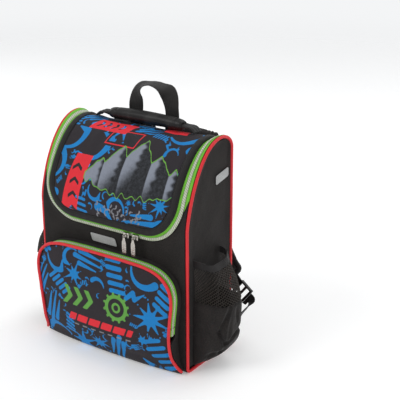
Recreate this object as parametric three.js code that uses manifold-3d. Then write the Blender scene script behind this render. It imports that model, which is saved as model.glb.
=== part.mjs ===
// A school ransel: a stiff box-shaped backpack with an arched zip lid, a front pocket, two side pockets,
// a carrying handle, a hanging loop and two padded shoulder straps.
// Millimetres, +Z up. X is the width, -Y the front and +Y the side that is worn on the back.
// The origin lies on the ground at the middle of the bottom.
import * as THREE from 'three';
import Module from 'manifold-3d';
import { mergeVertices } from 'three/addons/utils/BufferGeometryUtils.js';

const wasm = await Module();
wasm.setup();

// Body
const width = 265;
const depth = 117;
const height = 338;
const wall = 3;
const clearance = 0.3;
const frontRise = 218; // height where the front begins to lean back
const frontLean = 21; // how far the front keeps its upright direction above that
const crownReach = 59; // how far the crown keeps its level direction
const backRoundDepth = 30;
const backRoundDrop = 23;
const baseRound = 8;
const pipingRadius = 2.4;

// Arched lid and its zip
const lidMargin = 16.5; // from the lid's side edge to the side of the body
const lidHalfWidth = width / 2 - lidMargin;
const lidCorner = 52;
const lidBottom = 204; // height of the lid's lower edge on the front
const lidEnd = 46; // how far down the back the lid ends, below the crown
const lidThickness = 4;
const lidLift = 1;
const lidSag = 9; // how far the lid sinks between the side arches at the top
const lidCrown = 4;
const bindingWidth = 11;
const tapeInnerWidth = 3.4;
const coilWidth = 5;
const tapeThickness = 1.2;
const coilThickness = 2;

// Front pocket
const pocketHeight = 166;
const pocketMargin = 8.5; // from the pocket's side edge to the side of the body
const pocketHalfWidth = width / 2 - pocketMargin;
const pocketDepth = 25;
const pocketCrown = 12;
const pocketWall = 2.5;
const pocketTapeWidth = 2.6;
const pocketCoilWidth = 5;
const pocketZipEnd = 64; // height where the pocket's zip ends on both sides

// Side pockets
const sidePocketBulge = 52;
const sidePocketFront = 16; // front seam behind the front edge of the side
const sidePocketLength = 70;
const sidePocketBottom = 8;
const sidePocketHeight = 165;
const sidePocketWall = 2;
const sidePocketDip = 9;

// Back
const padThickness = 9;
const padMargin = 9;
const padTop = 262;
const padBottom = 12;
const lowerPadHeight = 78;
const lowerPadHalfWidth = 60;
const channel = 8;
const bandThickness = 3;

// Shoulder straps
const strapSpacing = 58; // from the middle to the sewn end of a strap
const strapWidth = 76;
const strapThickness = 9;
const strapSewnHeight = 280;
const strapHump = 322; // height of the strap's middle line where it folds over
const strapStandOff = 22; // from the back to the strap's middle line where it hangs
const strapEndHeight = 92;
const strapEndMargin = 11.5; // from the strap's lower end to the side of the body
const strapEndReach = width / 2 - strapEndMargin;
const strapTuck = 18; // below the fold, where the strap leaves the lid's end
const strapBindingWidth = 8;
const webbingWidth = 25;
const webbingThickness = 2;
const buckleLength = 24;
const buckleThickness = 7;
const buckleRim = 4;
const webbingAnchor = 10; // height of the lower webbing's sewn end
const webbingSlack = 3; // how far the lower webbing stands off its straight way

// Handle and loop
const gripLength = 132;
const gripRadius = 9.5;
const gripBehind = 91; // from the front edge of the body back to the grip
const gripGap = 1; // between the grip and the lid
const gripArch = 2; // by which the grip's middle stands higher than its ends
const gripOval = 1.05; // depth of the grip over its height
const handleReach = 90;
const handleKnee = 8; // from the webbing's foot back to where it turns down
const loopTop = 391;
const loopHalfWidth = 45;
const loopBehind = 108; // from the front edge of the body back to the loop
const loopThickness = 2.4;
const loopTurn = [[0, 0], [0.2, 0], [0.3, 0.3], [0.4, 0.86], [0.5, 1]]; // share along, share of a quarter turn

// Sliders and pulls
const sliderLength = 10;
const sliderWidth = 8;
const sliderHeight = 4;
const bridgeRadius = 0.8;
const bridgeRise = 3;
const bridgeInset = 1; // from the slider's end to the bridge
const bridgeLeg = 1.4;
const bridgeRoot = 0.5; // depth of the bridge's foot in the slider
const sink = 0.2; // overlap of two bodies that are joined
const pullLength = 27;
const pullWidth = 7;
const pullThickness = 1.6;
const eyeWall = 1; // of the pull's eye round the bridge
const mainSliderX = [34, 50];

// Reflective patches
const patchThickness = 0.6;
const frontPatch = { length: 46, height: 12, slant: 4, x: -14, above: 9 };
const sidePatch = { length: 32, height: 13.5, rise: 6, behind: 89, up: 278 };
const strapPatch = { length: 45, width: 19, along: 0.66 };

const ransel = new THREE.Group();
ransel.name = 'school_ransel';

// Colours, roughness and metalness of each material
const finishes = {
  cloth: ['#2b2827', 0.85, 0],
  binding: ['#191818', 0.8, 0],
  piping: ['#d8343b', 0.55, 0],
  tape: ['#7cc648', 0.8, 0],
  coil: ['#c4c4bc', 0.5, 0],
  metal: ['#b9b4ac', 0.3, 1],
  print: ['#2a2a31', 0.7, 0],
  mesh: ['#1d1b1b', 0.95, 0],
  reflective: ['#a9a9a5', 0.35, 0.2],
  rubber: ['#1c1c1c', 0.5, 0],
  plastic: ['#161616', 0.35, 0],
};

function add(name, geometry, finish) {
  const [color, roughness, metalness] = finishes[finish];
  const mesh = new THREE.Mesh(geometry, new THREE.MeshStandardMaterial({ color, roughness, metalness }));
  mesh.name = name;
  ransel.add(mesh);
  return mesh;
}

// Helpers

// A smooth curve through a short table of [share, value] rows.
function ease(table, share) {
  const last = table.length - 1;
  let k = 0;
  while (k < last - 1 && share > table[k + 1][0]) k += 1;
  const [a, b] = [table[k], table[k + 1]];
  const t = THREE.MathUtils.clamp((share - a[0]) / (b[0] - a[0]), 0, 1);
  const slope = (i) => {
    const p = table[Math.max(i - 1, 0)];
    const q = table[Math.min(i + 1, last)];
    return (q[1] - p[1]) / (q[0] - p[0]);
  };
  const span = b[0] - a[0];
  const t2 = t * t;
  const t3 = t2 * t;
  return a[1] * (2 * t3 - 3 * t2 + 1) + slope(k) * span * (t3 - 2 * t2 + t)
    + b[1] * (3 * t2 - 2 * t3) + slope(k + 1) * span * (t3 - t2);
}

function steps(count, from = 0, to = 1) {
  return Array.from({ length: count + 1 }, (_, i) => from + (to - from) * i / count);
}

// A closed body through rings of the same even number of points. A ring runs out along one face of the
// body and back along the other, so that its two ends close with a strip of quads.
function loft(rings, closed = false) {
  const count = rings[0].length;
  const points = rings.flat();
  const index = [];
  const quad = (a, b, c, d) => index.push(a, b, c, a, c, d);
  const last = closed ? rings.length : rings.length - 1;
  for (let r = 0; r < last; r += 1) {
    const here = r * count;
    const next = ((r + 1) % rings.length) * count;
    for (let i = 0; i < count; i += 1) {
      const j = (i + 1) % count;
      quad(here + i, here + j, next + j, next + i);
    }
  }
  if (!closed) {
    const far = (rings.length - 1) * count;
    for (let i = 0; i < count / 2 - 1; i += 1) {
      const [a, b, c, d] = [i, i + 1, count - 2 - i, count - 1 - i];
      quad(a, d, c, b);
      quad(far + a, far + b, far + c, far + d);
    }
  }
  const geometry = new THREE.BufferGeometry().setFromPoints(points);
  geometry.setIndex(index);
  if (signedVolume(points, index) < 0) {
    for (let i = 0; i < index.length; i += 3) [index[i], index[i + 1]] = [index[i + 1], index[i]];
    geometry.setIndex(index);
  }
  return geometry;
}

function signedVolume(points, index) {
  let sum = 0;
  for (let i = 0; i < index.length; i += 3) {
    const [a, b, c] = [points[index[i]], points[index[i + 1]], points[index[i + 2]]];
    sum += a.dot(b.clone().cross(c));
  }
  return sum / 6;
}

// A sheet from a function of two shares and a face number, 0 on one face and 1 on the other.
function sheet(rows, columns, point) {
  return loft(rows.map((v) => [
    ...columns.map((u) => point(u, v, 0)),
    ...[...columns].reverse().map((u) => point(u, v, 1)),
  ]));
}

function solid(geometry) {
  const bare = geometry.clone();
  bare.deleteAttribute('normal');
  bare.deleteAttribute('uv');
  const merged = mergeVertices(bare, 1e-4);
  return new wasm.Manifold(new wasm.Mesh({
    numProp: 3,
    vertProperties: merged.attributes.position.array,
    triVerts: Uint32Array.from(merged.index.array),
  }));
}

function unite(geometries) {
  const mesh = geometries.map(solid).reduce((sum, next) => sum.add(next)).getMesh();
  const geometry = new THREE.BufferGeometry();
  geometry.setAttribute('position', new THREE.BufferAttribute(mesh.vertProperties, mesh.numProp));
  geometry.setIndex(new THREE.BufferAttribute(mesh.triVerts, 1));
  return geometry;
}

function extrude(shape, thickness, curveSegments) {
  return new THREE.ExtrudeGeometry(shape, { depth: thickness, bevelEnabled: false, curveSegments });
}

function roundedOutline(points, radius) {
  const shape = new THREE.Shape();
  points.forEach((p, i) => {
    const before = points[(i + points.length - 1) % points.length];
    const after = points[(i + 1) % points.length];
    const start = p.clone().add(before.clone().sub(p).setLength(radius));
    const end = p.clone().add(after.clone().sub(p).setLength(radius));
    if (i === 0) shape.moveTo(start.x, start.y);
    else shape.lineTo(start.x, start.y);
    shape.quadraticCurveTo(p.x, p.y, end.x, end.y);
  });
  shape.closePath();
  return shape;
}

// The body's outline, seen from the side

function bodyOutline() {
  const path = new THREE.Path();
  const crownStart = depth - backRoundDepth;
  path.moveTo(0, baseRound);
  path.lineTo(0, frontRise);
  path.bezierCurveTo(0, frontRise + frontLean, crownStart - crownReach, height, crownStart, height);
  path.absellipse(crownStart, height - backRoundDrop, backRoundDepth, backRoundDrop, Math.PI / 2, 0, true, 0);
  path.lineTo(depth, baseRound);
  path.absarc(depth - baseRound, baseRound, baseRound, 0, -Math.PI / 2, true);
  path.lineTo(baseRound, 0);
  path.absarc(baseRound, baseRound, baseRound, -Math.PI / 2, -Math.PI, true);
  return path;
}

const outline = bodyOutline();
const around = outline.getLength();
const lengths = outline.getCurveLengths();
const frontTop = lengths[0];
const crownAt = lengths[1];
const backTop = lengths[2];
const backFoot = lengths[3];
const lidStart = lidBottom - baseRound;
const lidStop = backTop + (lidEnd - backRoundDrop);

// A point at width x, at the length s along the outline from the foot of the front, and d outside it.
function place(x, s, d) {
  const u = THREE.MathUtils.clamp(s / around, 0, 1);
  const p = outline.getPointAt(u);
  const t = outline.getTangentAt(u);
  return new THREE.Vector3(x, p.x - depth / 2 - t.y * d, p.y + t.x * d);
}

const alongBack = (z) => backTop + height - backRoundDrop - z;

// Body panels

function sidePanel(side) {
  const inset = -(2 * pipingRadius + 2 * clearance);
  const shares = [0, 0.04, 0.3, 0.5, 0.58, 0.66, 0.74, 0.82, 0.9, 0.96];
  const outer = side * width / 2;
  const across = steps(3);
  const row = (share) => {
    const front = place(0, crownAt * share, inset);
    const back = place(0, backFoot - (backFoot - crownAt) * share, inset);
    return across.map((u) => front.clone().lerp(back, u));
  };
  return loft(shares.map((share) => {
    const points = row(share);
    const face = (offset) => points.map((p) => new THREE.Vector3(outer - side * offset, p.y, p.z));
    return [...face(0), ...face(wall).reverse()];
  }));
}

const panelHalfWidth = width / 2 - pipingRadius - clearance;
const bandTotal = panelHalfWidth - lidHalfWidth;
const coilStart = tapeInnerWidth + 2 * clearance;
const coilEnd = coilStart + coilWidth;
const tapeOuterStart = coilEnd + clearance;

// Half width and height of the arch at the angle a of its lower corner, at the distance o outside the lid.
function corner(a, o) {
  const r = lidCorner + o;
  return { x: lidHalfWidth - lidCorner + r * Math.sin(a), s: lidStart + lidCorner - r * Math.cos(a) };
}

const hornAngle = THREE.MathUtils.degToRad(78);
const hornRise = 20;
const hornFoot = corner(hornAngle, tapeOuterStart);

// Upper edge of the front panel beside the zip, where it runs up to a point at the side.
const hornTop = (x) => hornFoot.s + hornRise * (x - hornFoot.x) / (panelHalfWidth - hornFoot.x);

function frontPanel() {
  const arc = steps(7, 0, hornAngle).map((a) => corner(a, tapeOuterStart));
  const right = [...arc, { x: panelHalfWidth, s: hornTop(panelHalfWidth) }];
  const flat = steps(4, -1, 1).slice(1, 4).map((u) => ({ x: u * arc[0].x, s: arc[0].s }));
  const left = right.map(({ x, s }) => ({ x: -x, s })).reverse();
  const columns = [...left, ...flat, ...right];
  const rows = [0, 0.6, 0.76, 0.88, 1];
  return loft(columns.map(({ x, s }) => [
    ...rows.map((v) => place(x, clearance + v * (s - clearance), 0)),
    ...[...rows].reverse().map((v) => place(x, clearance + v * (s - clearance), -wall)),
  ]));
}

function wrap(from, to, halfWidth, inner, outer, count) {
  const point = (x, s, face) => place(x, s, face ? inner : outer);
  return sheet(steps(count, from, to), [-halfWidth, halfWidth], point);
}

function bottomPanel() {
  return wrap(backFoot + clearance, around - clearance, panelHalfWidth, -wall, 0, 12);
}

function backPanel() {
  return wrap(lidStop + clearance, backFoot, panelHalfWidth, -wall, 0, 6);
}

function piping(side) {
  const centre = -pipingRadius - clearance;
  const front = steps(5, 0, frontTop).slice(0, 5);
  const curve = steps(14, frontTop, crownAt).slice(0, 14);
  const back = steps(6, crownAt, backTop).slice(0, 6);
  const rear = steps(5, backTop, backFoot).slice(0, 5);
  const heel = steps(3, backFoot, lengths[4]).slice(0, 3);
  const sole = steps(2, lengths[4], lengths[5]).slice(0, 2);
  const base = [...heel, ...sole, ...steps(3, lengths[5], around).slice(0, 3)];
  const stations = [...front, ...curve, ...back, ...rear, ...base];
  return loft(stations.map((s) => steps(6, 0, 2 * Math.PI).slice(0, 6).map((a) => {
    return place(side * width / 2 + pipingRadius * Math.cos(a), s, centre + pipingRadius * Math.sin(a));
  })), true);
}

// Lid and zip

// Rise of the lid over the outline, along its length and across it, as shares of lidSag and lidCrown.
const lidRise = [[0, 0.25], [0.2, 0.3], [0.42, -0.15], [0.6, -0.6], [0.75, -1], [0.88, -0.85], [1, -0.1]];
const lidArch = [[0, 0.4], [0.25, 1], [0.5, 0.3], [0.75, -1], [0.9, -0.7], [1, 0]];

function lift(x, s) {
  const share = THREE.MathUtils.clamp((s - lidStart) / (lidStop - lidStart), 0, 1);
  const across = Math.max(0, 1 - (x / lidHalfWidth) ** 2);
  return lidSag * ease(lidRise, share) + lidCrown * ease(lidArch, share) * across;
}

// Stations of the arch: up over the top on both sides, round both lower corners and along the front.
function archStations() {
  const up = steps(18, lidStart + lidCorner, lidStop).slice(1);
  const side = up.map((s) => ({ x: lidHalfWidth, s, nx: 1, ns: 0 }));
  const turn = steps(7, 0, Math.PI / 2).map((a) => ({ ...corner(a, 0), nx: Math.sin(a), ns: -Math.cos(a) }));
  const right = [...turn, ...side];
  const left = right.map((p) => ({ ...p, x: -p.x, nx: -p.nx })).reverse();
  const flat = steps(4, -1, 1).slice(1, 4).map((u) => ({ x: u * turn[0].x, s: lidStart, nx: 0, ns: -1 }));
  return [...left, ...flat, ...right];
}

const arch = archStations();

function ribbon(stations, from, to, inner, outer) {
  const point = (p, o, d) => {
    const x = p.x + p.nx * o;
    const s = p.s + p.ns * o;
    const share = 1 - THREE.MathUtils.clamp(o / bandTotal, 0, 1);
    return place(x, s, d + share * lift(p.x, p.s));
  };
  return loft(stations.map((p) => {
    return [point(p, from, outer), point(p, to, outer), point(p, to, inner), point(p, from, inner)];
  }));
}

function lid() {
  const inset = bindingWidth + clearance;
  const half = lidHalfWidth - inset;
  const radius = lidCorner - inset;
  const turn = steps(6, 0, Math.PI / 2).map((a) => [lidStart + lidCorner - radius * Math.cos(a),
    half - radius + radius * Math.sin(a)]);
  const straight = steps(16, lidStart + lidCorner, lidStop).slice(1).map((s) => [s, half]);
  const across = steps(6, -1, 1);
  return loft([...turn, ...straight].map(([s, reach]) => {
    const face = (d) => across.map((u) => place(u * reach, s, lidLift + d + lift(u * reach, s)));
    return [...face(lidThickness), ...face(0).reverse()];
  }));
}

function outerTape(side) {
  const stations = steps(16);
  const edge = [tapeOuterStart + lidHalfWidth, panelHalfWidth];
  const start = edge.map((x) => hornTop(x) + 4 * clearance);
  const point = (i, v, d) => {
    const s = start[i] + v * (lidStop - start[i]);
    const share = i ? 0 : 1 - tapeOuterStart / bandTotal;
    return place(side * edge[i], s, d + share * lift(lidHalfWidth, s));
  };
  return loft(stations.map((v) => {
    return [point(0, v, 0), point(1, v, 0), point(1, v, -tapeThickness), point(0, v, -tapeThickness)];
  }));
}

// Front pocket

// The pocket's side edge from its foot to its top, as shares of the half width, height and depth, with the
// share of the crown that the face has across that row.
const pocketEdge = [
  { x: 1.035, z: 0.035, d: 0.27, crown: 0.65 },
  { x: 0.99, z: 0.1, d: 0.5, crown: 0.85 },
  { x: 0.962, z: 0.2, d: 0.8, crown: 0.95 },
  { x: 0.955, z: 0.36, d: 0.97, crown: 1 },
  { x: 0.975, z: 0.54, d: 1, crown: 1 },
  { x: 0.998, z: 0.7, d: 1, crown: 0.85 },
  { x: 0.985, z: 0.8, d: 1, crown: 0.65 },
  { x: 0.93, z: 0.885, d: 1, crown: 0.45 },
  { x: 0.81, z: 0.955, d: 1, crown: 0.25 },
  { x: 0.62, z: 0.99, d: 1, crown: 0.1 },
  { x: 0.32, z: 1, d: 1, crown: 0 },
];

const crownPower = 2.6; // how squarely the face's crown fills its width
const edgeAt = (key, t) => ease(pocketEdge.map((row, i) => [i / (pocketEdge.length - 1), row[key]]), t);

// A point of the pocket's face: u across from -1 to 1, t up its edge from 0 to 1, h outside the face.
function pocketFace(u, t, h) {
  const crown = pocketCrown * edgeAt('crown', t) * (1 - Math.abs(u) ** crownPower);
  const out = pocketDepth * edgeAt('d', t) + crown + h;
  const x = u * pocketHalfWidth * edgeAt('x', t);
  return new THREE.Vector3(x, -depth / 2 - out, pocketHeight * edgeAt('z', t));
}

function pocketPanel() {
  const across = steps(8, -1, 1);
  const inset = pipingRadius + 3 * clearance;
  const rows = steps(14);
  return loft(rows.map((t) => {
    const face = (h) => across.map((u) => {
      const p = pocketFace(u, t, h);
      const squeezeX = 1 - inset / pocketHalfWidth;
      const middle = pocketHeight / 2;
      const squeezeZ = 1 - inset / middle;
      return new THREE.Vector3(p.x * squeezeX, p.y, middle + (p.z - middle) * squeezeZ);
    });
    return [...face(0), ...face(-pocketWall).reverse()];
  }));
}

const bottomStations = 9; // points of the loop along the pocket's lower edge

// The pocket's edge as a loop of points with the outward direction in the plane of the face.
function pocketLoop() {
  const bottom = steps(bottomStations - 1, -1, 1).map((u) => pocketFace(u, 0, 0));
  const right = steps(18).slice(1, 18).map((t) => pocketFace(1, t, 0));
  const top = steps(6, 1, -1).map((u) => pocketFace(u, 1, 0));
  const left = steps(18).slice(1, 18).reverse().map((t) => pocketFace(-1, t, 0));
  const points = [...bottom, ...right, ...top, ...left];
  return points.map((p, i) => {
    const a = points[(i + points.length - 1) % points.length];
    const b = points[(i + 1) % points.length];
    const along = b.clone().sub(a).normalize();
    return { p, along, out: new THREE.Vector3(along.z, 0, -along.x).normalize() };
  });
}

const pocketRound = pocketLoop();

// The piping runs from one lower corner over the top to the other, and the lower edge is folded under.
function pocketPiping() {
  const stations = [...pocketRound.slice(bottomStations - 1), pocketRound[0]];
  return loft(stations.map(({ p, along, out }) => {
    const up = out.clone().cross(along).normalize();
    return steps(6, 0, 2 * Math.PI).slice(0, 6).map((a) => {
      const beside = p.clone().addScaledVector(out, pipingRadius * Math.cos(a));
      return beside.addScaledVector(up, pipingRadius * Math.sin(a));
    });
  }));
}

// How far behind the pocket's edge its gusset and zip begin.
const pocketSeat = pipingRadius + clearance + 0.9 * pocketWall;

// The part of the pocket's loop that lies above the height z, from the right side over the top to the left.
function pocketArch(z) {
  return pocketRound.slice(bottomStations).filter(({ p }) => p.z > z);
}

// A band round the pocket's edge, between two distances from the body's front, and thick inward.
function pocketBand(stations, near, far, thickness) {
  return loft(stations.map((station) => {
    const reach = -depth / 2 - station.p.y - pocketSeat;
    const point = (distance, inward) => {
      const q = station.p.clone().addScaledVector(station.out, -inward);
      q.y = -depth / 2 - Math.min(distance(reach), reach);
      return q;
    };
    return [point(near, 0), point(far, 0), point(far, thickness), point(near, thickness)];
  }));
}

const zipBandDepth = 2 * pocketTapeWidth + pocketCoilWidth + 3 * clearance;
const pocketCoilMiddle = pocketTapeWidth + clearance + pocketCoilWidth / 2 - pocketSeat - zipBandDepth;
const pocketSliderAlong = 0.43; // share of the pocket's side edge, from its foot
const gussetEase = 14; // height over which the gusset narrows below the zip's end
const gussetLeast = 1.1; // its depth where the pocket runs out at its foot
const gussetDepth = (reach, z) => {
  const full = reach - zipBandDepth;
  const open = THREE.MathUtils.smoothstep(z, pocketZipEnd - gussetEase, pocketZipEnd - gussetEase / 7);
  return reach + (full - reach) * open;
};

function pocketGusset() {
  return loft(pocketRound.map(({ p, out }) => {
    const reach = -depth / 2 - p.y - pocketSeat;
    const far = Math.max(gussetDepth(reach, p.z), gussetLeast);
    const point = (distance, inward) => {
      const q = p.clone().addScaledVector(out, -inward);
      q.y = -depth / 2 - distance;
      return q;
    };
    return [point(clearance, 0), point(far, 0), point(far, pocketWall), point(clearance, pocketWall)];
  }), true);
}

function pocketZip(start, bandWidth, thickness, lower) {
  const stations = pocketArch(pocketZipEnd + lower);
  const near = (reach) => reach - zipBandDepth + start;
  return pocketBand(stations, near, (reach) => near(reach) + bandWidth, thickness);
}

// Side pockets

// Outward bulge of a side pocket over its height, as a share of sidePocketBulge.
const pocketBelly = [[0, 0.07], [0.05, 0.4], [0.14, 0.72], [0.25, 0.94], [0.42, 1], [0.6, 1], [0.78, 0.84],
  [0.9, 0.6], [1, 0.44]];
const pouchLevel = 0.62;
const rimLevel = 0.94;
const pouchPower = 2.8; // power of the rounded outline seen from above
const netThickness = 1.2;
const rimExtra = 0.6; // by which the rim's binding is thicker than the wall

function sidePocketPoint(side, a, level, inward) {
  const power = (value) => Math.sign(value) * Math.abs(value) ** (2 / pouchPower);
  const half = sidePocketLength / 2;
  const y = -depth / 2 + sidePocketFront + half - (half - inward) * power(Math.cos(a));
  const out = Math.max(sidePocketBulge * ease(pocketBelly, level) - inward, 0) * power(Math.sin(a));
  const dip = sidePocketDip * level * level * Math.sin(a) ** 2;
  const z = sidePocketBottom + sidePocketHeight * level - dip;
  return new THREE.Vector3(side * (width / 2 + clearance + out), y, z);
}

function sidePocketPart(side, from, to, rows, thickness) {
  const angles = steps(12, 0, Math.PI);
  return sheet(steps(rows, from, to), angles, (a, level, face) => {
    return sidePocketPoint(side, a, level, face ? thickness : 0);
  });
}

// Back

function pillow(columns, low, high, thickness) {
  const rows = [0, 0.08, 0.25, 0.5, 0.75, 0.92, 1];
  const rim = 0.35; // share of the thickness that the sewn edge keeps
  const dome = (v) => Math.sqrt(Math.sin(Math.PI * THREE.MathUtils.clamp(v, 0.02, 0.98)));
  const round = (v) => rim + (1 - rim) * dome(v);
  return loft(columns.map((u) => {
    const bottom = low(u.x);
    const rise = high(u.x) - bottom;
    const face = (d) => rows.map((v) => place(u.x, alongBack(bottom + v * rise), d(v)));
    const edge = round(u.share);
    return [...face((v) => clearance + thickness * edge * round(v)), ...face(() => clearance).reverse()];
  }));
}

// Height of the lower pad's upper edge over the width, as shares of its half width and height.
const lowerPadEdge = [[0, 1], [0.4, 0.86], [0.76, 0.68], [0.9, 0.4], [1, 0.02]];

function lowerPadTop(x) {
  const share = Math.min(Math.abs(x) / lowerPadHalfWidth, 1);
  return padBottom + lowerPadHeight * ease(lowerPadEdge, share);
}

function lowerPad() {
  const columns = [-1, -0.9, -0.76, -0.4, 0, 0.4, 0.76, 0.9, 1].map((share) => {
    return { x: share * lowerPadHalfWidth, share: (share + 1) / 2 };
  });
  return pillow(columns, () => padBottom, (x) => lowerPadTop(x) + 1, padThickness);
}

function upperPad() {
  const half = width / 2 - padMargin;
  const inner = lowerPadHalfWidth + channel;
  const shares = [0, 0.4, 0.76, 0.9, 1];
  const over = shares.map((share) => share * inner);
  const side = steps(4, inner, half).slice(1);
  const right = [...over, ...side];
  const xs = [...right.slice(1).map((x) => -x).reverse(), ...right];
  const low = (x) => {
    const share = Math.min(Math.abs(x) / inner, 1);
    const peak = 0.4 * channel * (1 - share);
    return padBottom + Math.max(0, (lowerPadHeight + channel) * ease(lowerPadEdge, share) + peak);
  };
  const columns = xs.map((x) => ({ x, share: (x + half) / (2 * half) }));
  return pillow(columns, low, () => padTop, padThickness);
}

function backBand() {
  const top = lidStop + 2 * clearance;
  const bottom = alongBack(padTop + clearance);
  return wrap(bottom, top, width / 2 - padMargin, clearance, clearance + bandThickness, 3);
}

// Shoulder straps

const backFace = depth / 2;

// The strap's middle line from its fold down to its end, as shares of the way out to the end's reach, of the
// stand-off from the back and of the height of the fold over the end.
const strapFall = [
  { out: 0, off: 0.795, up: 1 },
  { out: 0, off: 1.045, up: 0.939 },
  { out: 0, off: 1.136, up: 0.804 },
  { out: -0.016, off: 1.136, up: 0.578 },
  { out: 0.063, off: 1.09, up: 0.383 },
  { out: 0.317, off: 1, up: 0.209 },
  { out: 0.683, off: 1, up: 0.07 },
  { out: 1, off: 1, up: 0 },
];

function strapRoute(side) {
  const overBand = backFace + bandThickness + strapThickness / 2 + 3 * clearance;
  const overLid = backFace + lidLift + lidThickness + strapThickness / 2 + 4 * clearance;
  const sewn = new THREE.Vector3(side * strapSpacing, overBand, strapSewnHeight);
  const tucked = new THREE.Vector3(side * strapSpacing, overLid, strapHump - strapTuck);
  const free = strapFall.map(({ out, off, up }) => new THREE.Vector3(
    side * (strapSpacing + out * (strapEndReach - strapSpacing)),
    backFace + off * strapStandOff,
    strapEndHeight + up * (strapHump - strapEndHeight),
  ));
  return new THREE.CatmullRomCurve3([sewn, tucked, ...free], false, 'centripetal');
}

const strapSpread = [[0, 0.9], [0.12, 0.96], [0.3, 1], [0.6, 1.06], [0.8, 1.04], [1, 0.82]];

// A point of a strap: v along it from the sewn end, u across in millimetres, h over its middle face.
function strapPoint(route, v, u, h) {
  const p = route.getPointAt(v);
  const t = route.getTangentAt(v);
  const across = new THREE.Vector3(Math.sqrt(1 - t.x * t.x), 0, t.x).normalize();
  const out = across.clone().cross(t).normalize();
  return p.addScaledVector(across, u).addScaledVector(out, h);
}

const strapHalf = (v) => strapWidth / 2 * ease(strapSpread, v);
const strapShares = [0, 0.05, 0.1, 0.125, 0.15, 0.175, 0.2, 0.24, 0.3, 0.38, 0.46, 0.54, 0.61, 0.68, 0.74, 0.8,
  0.86, 0.92, 0.97];

function shoulderStrap(route) {
  return loft(strapShares.map((v) => {
    const half = strapHalf(v) - strapBindingWidth - 2 * clearance;
    const thick = strapThickness / 2;
    const bend = 0.55 * half;
    const low = 0.8 * thick;
    const ring = [[-half, low], [-bend, thick], [bend, thick], [half, low],
      [half, -low], [bend, -thick], [-bend, -thick], [-half, -low]];
    return ring.map(([u, h]) => strapPoint(route, v, u, h));
  }));
}

const endRound = 0.72; // share of the strap's end that is straight
const foldShare = 0.62; // share of the strap's thickness that its binding has

function strapBinding(route) {
  const endGap = (strapBindingWidth - clearance) / route.getLength();
  const last = strapShares[strapShares.length - 1];
  const side = strapShares.map((v) => ({ v, half: strapHalf(v) }));
  const inward = (half) => half - strapBindingWidth;
  const edge = (sign) => side.map(({ v, half }) => [[v, sign * half], [v, sign * inward(half)]]);
  const outEnd = last + endGap + clearance / route.getLength();
  const inEnd = last + clearance / route.getLength();
  const half = strapHalf(last);
  const round = endRound * half;
  const across = steps(4, -round, round).map((u) => [[outEnd, u], [inEnd, u]]);
  const turn = (sign) => [[last + 0.6 * endGap, 0.92 * sign * half], [inEnd, sign * inward(half)]];
  const stations = [...edge(-1), turn(-1), ...across, turn(1), ...edge(1).reverse()];
  const thick = foldShare * strapThickness / 2;
  return loft(stations.map(([outer, inner]) => [
    strapPoint(route, outer[0], outer[1], thick),
    strapPoint(route, inner[0], inner[1], thick),
    strapPoint(route, inner[0], inner[1], -thick),
    strapPoint(route, outer[0], outer[1], -thick),
  ]));
}

// A flat band of webbing through points, with its width along a direction that may turn on the way.
function webbing(points, across, wide, thick, acrossEnd = across) {
  const curve = new THREE.CatmullRomCurve3(points, false, 'centripetal');
  return loft(steps(10).map((v) => {
    const p = curve.getPointAt(v);
    const t = curve.getTangentAt(v);
    const normal = across.clone().lerp(acrossEnd, Math.min(1, 1.5 * v)).cross(t).normalize();
    const level = t.clone().cross(normal).normalize();
    const at = (u, h) => p.clone().addScaledVector(level, u).addScaledVector(normal, h);
    const [w, h] = [wide / 2, thick / 2];
    return [at(-w, h), at(w, h), at(w, -h), at(-w, -h)];
  }));
}

// Direction in which the webbing leaves the end of a strap, and the places along it.
function strapEnd(route) {
  const t = route.getTangentAt(1);
  const across = new THREE.Vector3(Math.sqrt(1 - t.x * t.x), 0, t.x).normalize();
  const out = across.clone().cross(t).normalize();
  return { end: strapPoint(route, 1, 0, 0), along: t, across, out };
}

const stubOnStrap = 26;
const stubBeyond = 9;

function webbingStub(route) {
  const { end, along, across, out } = strapEnd(route);
  const lie = strapThickness / 2 + webbingThickness / 2 + clearance;
  const at = (reach, above) => end.clone().addScaledVector(along, reach).addScaledVector(out, above);
  const points = [at(-stubOnStrap, lie), at(-stubOnStrap / 4, lie), at(stubBeyond, lie / 2)];
  return webbing(points, across, webbingWidth, webbingThickness);
}

// The ladder buckle: a frame with two bars, with the webbing ends on either side of them.
function ladderBuckle(route) {
  const { end, along, across, out } = strapEnd(route);
  const half = webbingWidth / 2 + buckleRim;
  const corners = [[-half, 0], [half, 0], [half, buckleLength], [-half, buckleLength]];
  const shape = roundedOutline(corners.map(([x, y]) => new THREE.Vector2(x, y)), buckleRim * 0.75);
  const slot = (y0, y1) => {
    const hole = new THREE.Path();
    const reach = webbingWidth / 2 + 1;
    hole.moveTo(-reach, y0);
    hole.lineTo(-reach, y1);
    hole.lineTo(reach, y1);
    hole.lineTo(reach, y0);
    hole.closePath();
    return hole;
  };
  const bar = buckleRim;
  const gap = (buckleLength - 3 * bar) / 2;
  shape.holes.push(slot(bar, bar + gap), slot(2 * bar + gap, 2 * bar + 2 * gap));
  const geometry = extrude(shape, buckleThickness, 3);
  geometry.translate(0, 0, -buckleThickness / 2);
  const base = new THREE.Matrix4().makeBasis(across, along, across.clone().cross(along));
  const start = end.clone().addScaledVector(along, stubBeyond + clearance);
  base.setPosition(start);
  geometry.applyMatrix4(base);
  return geometry;
}

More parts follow.
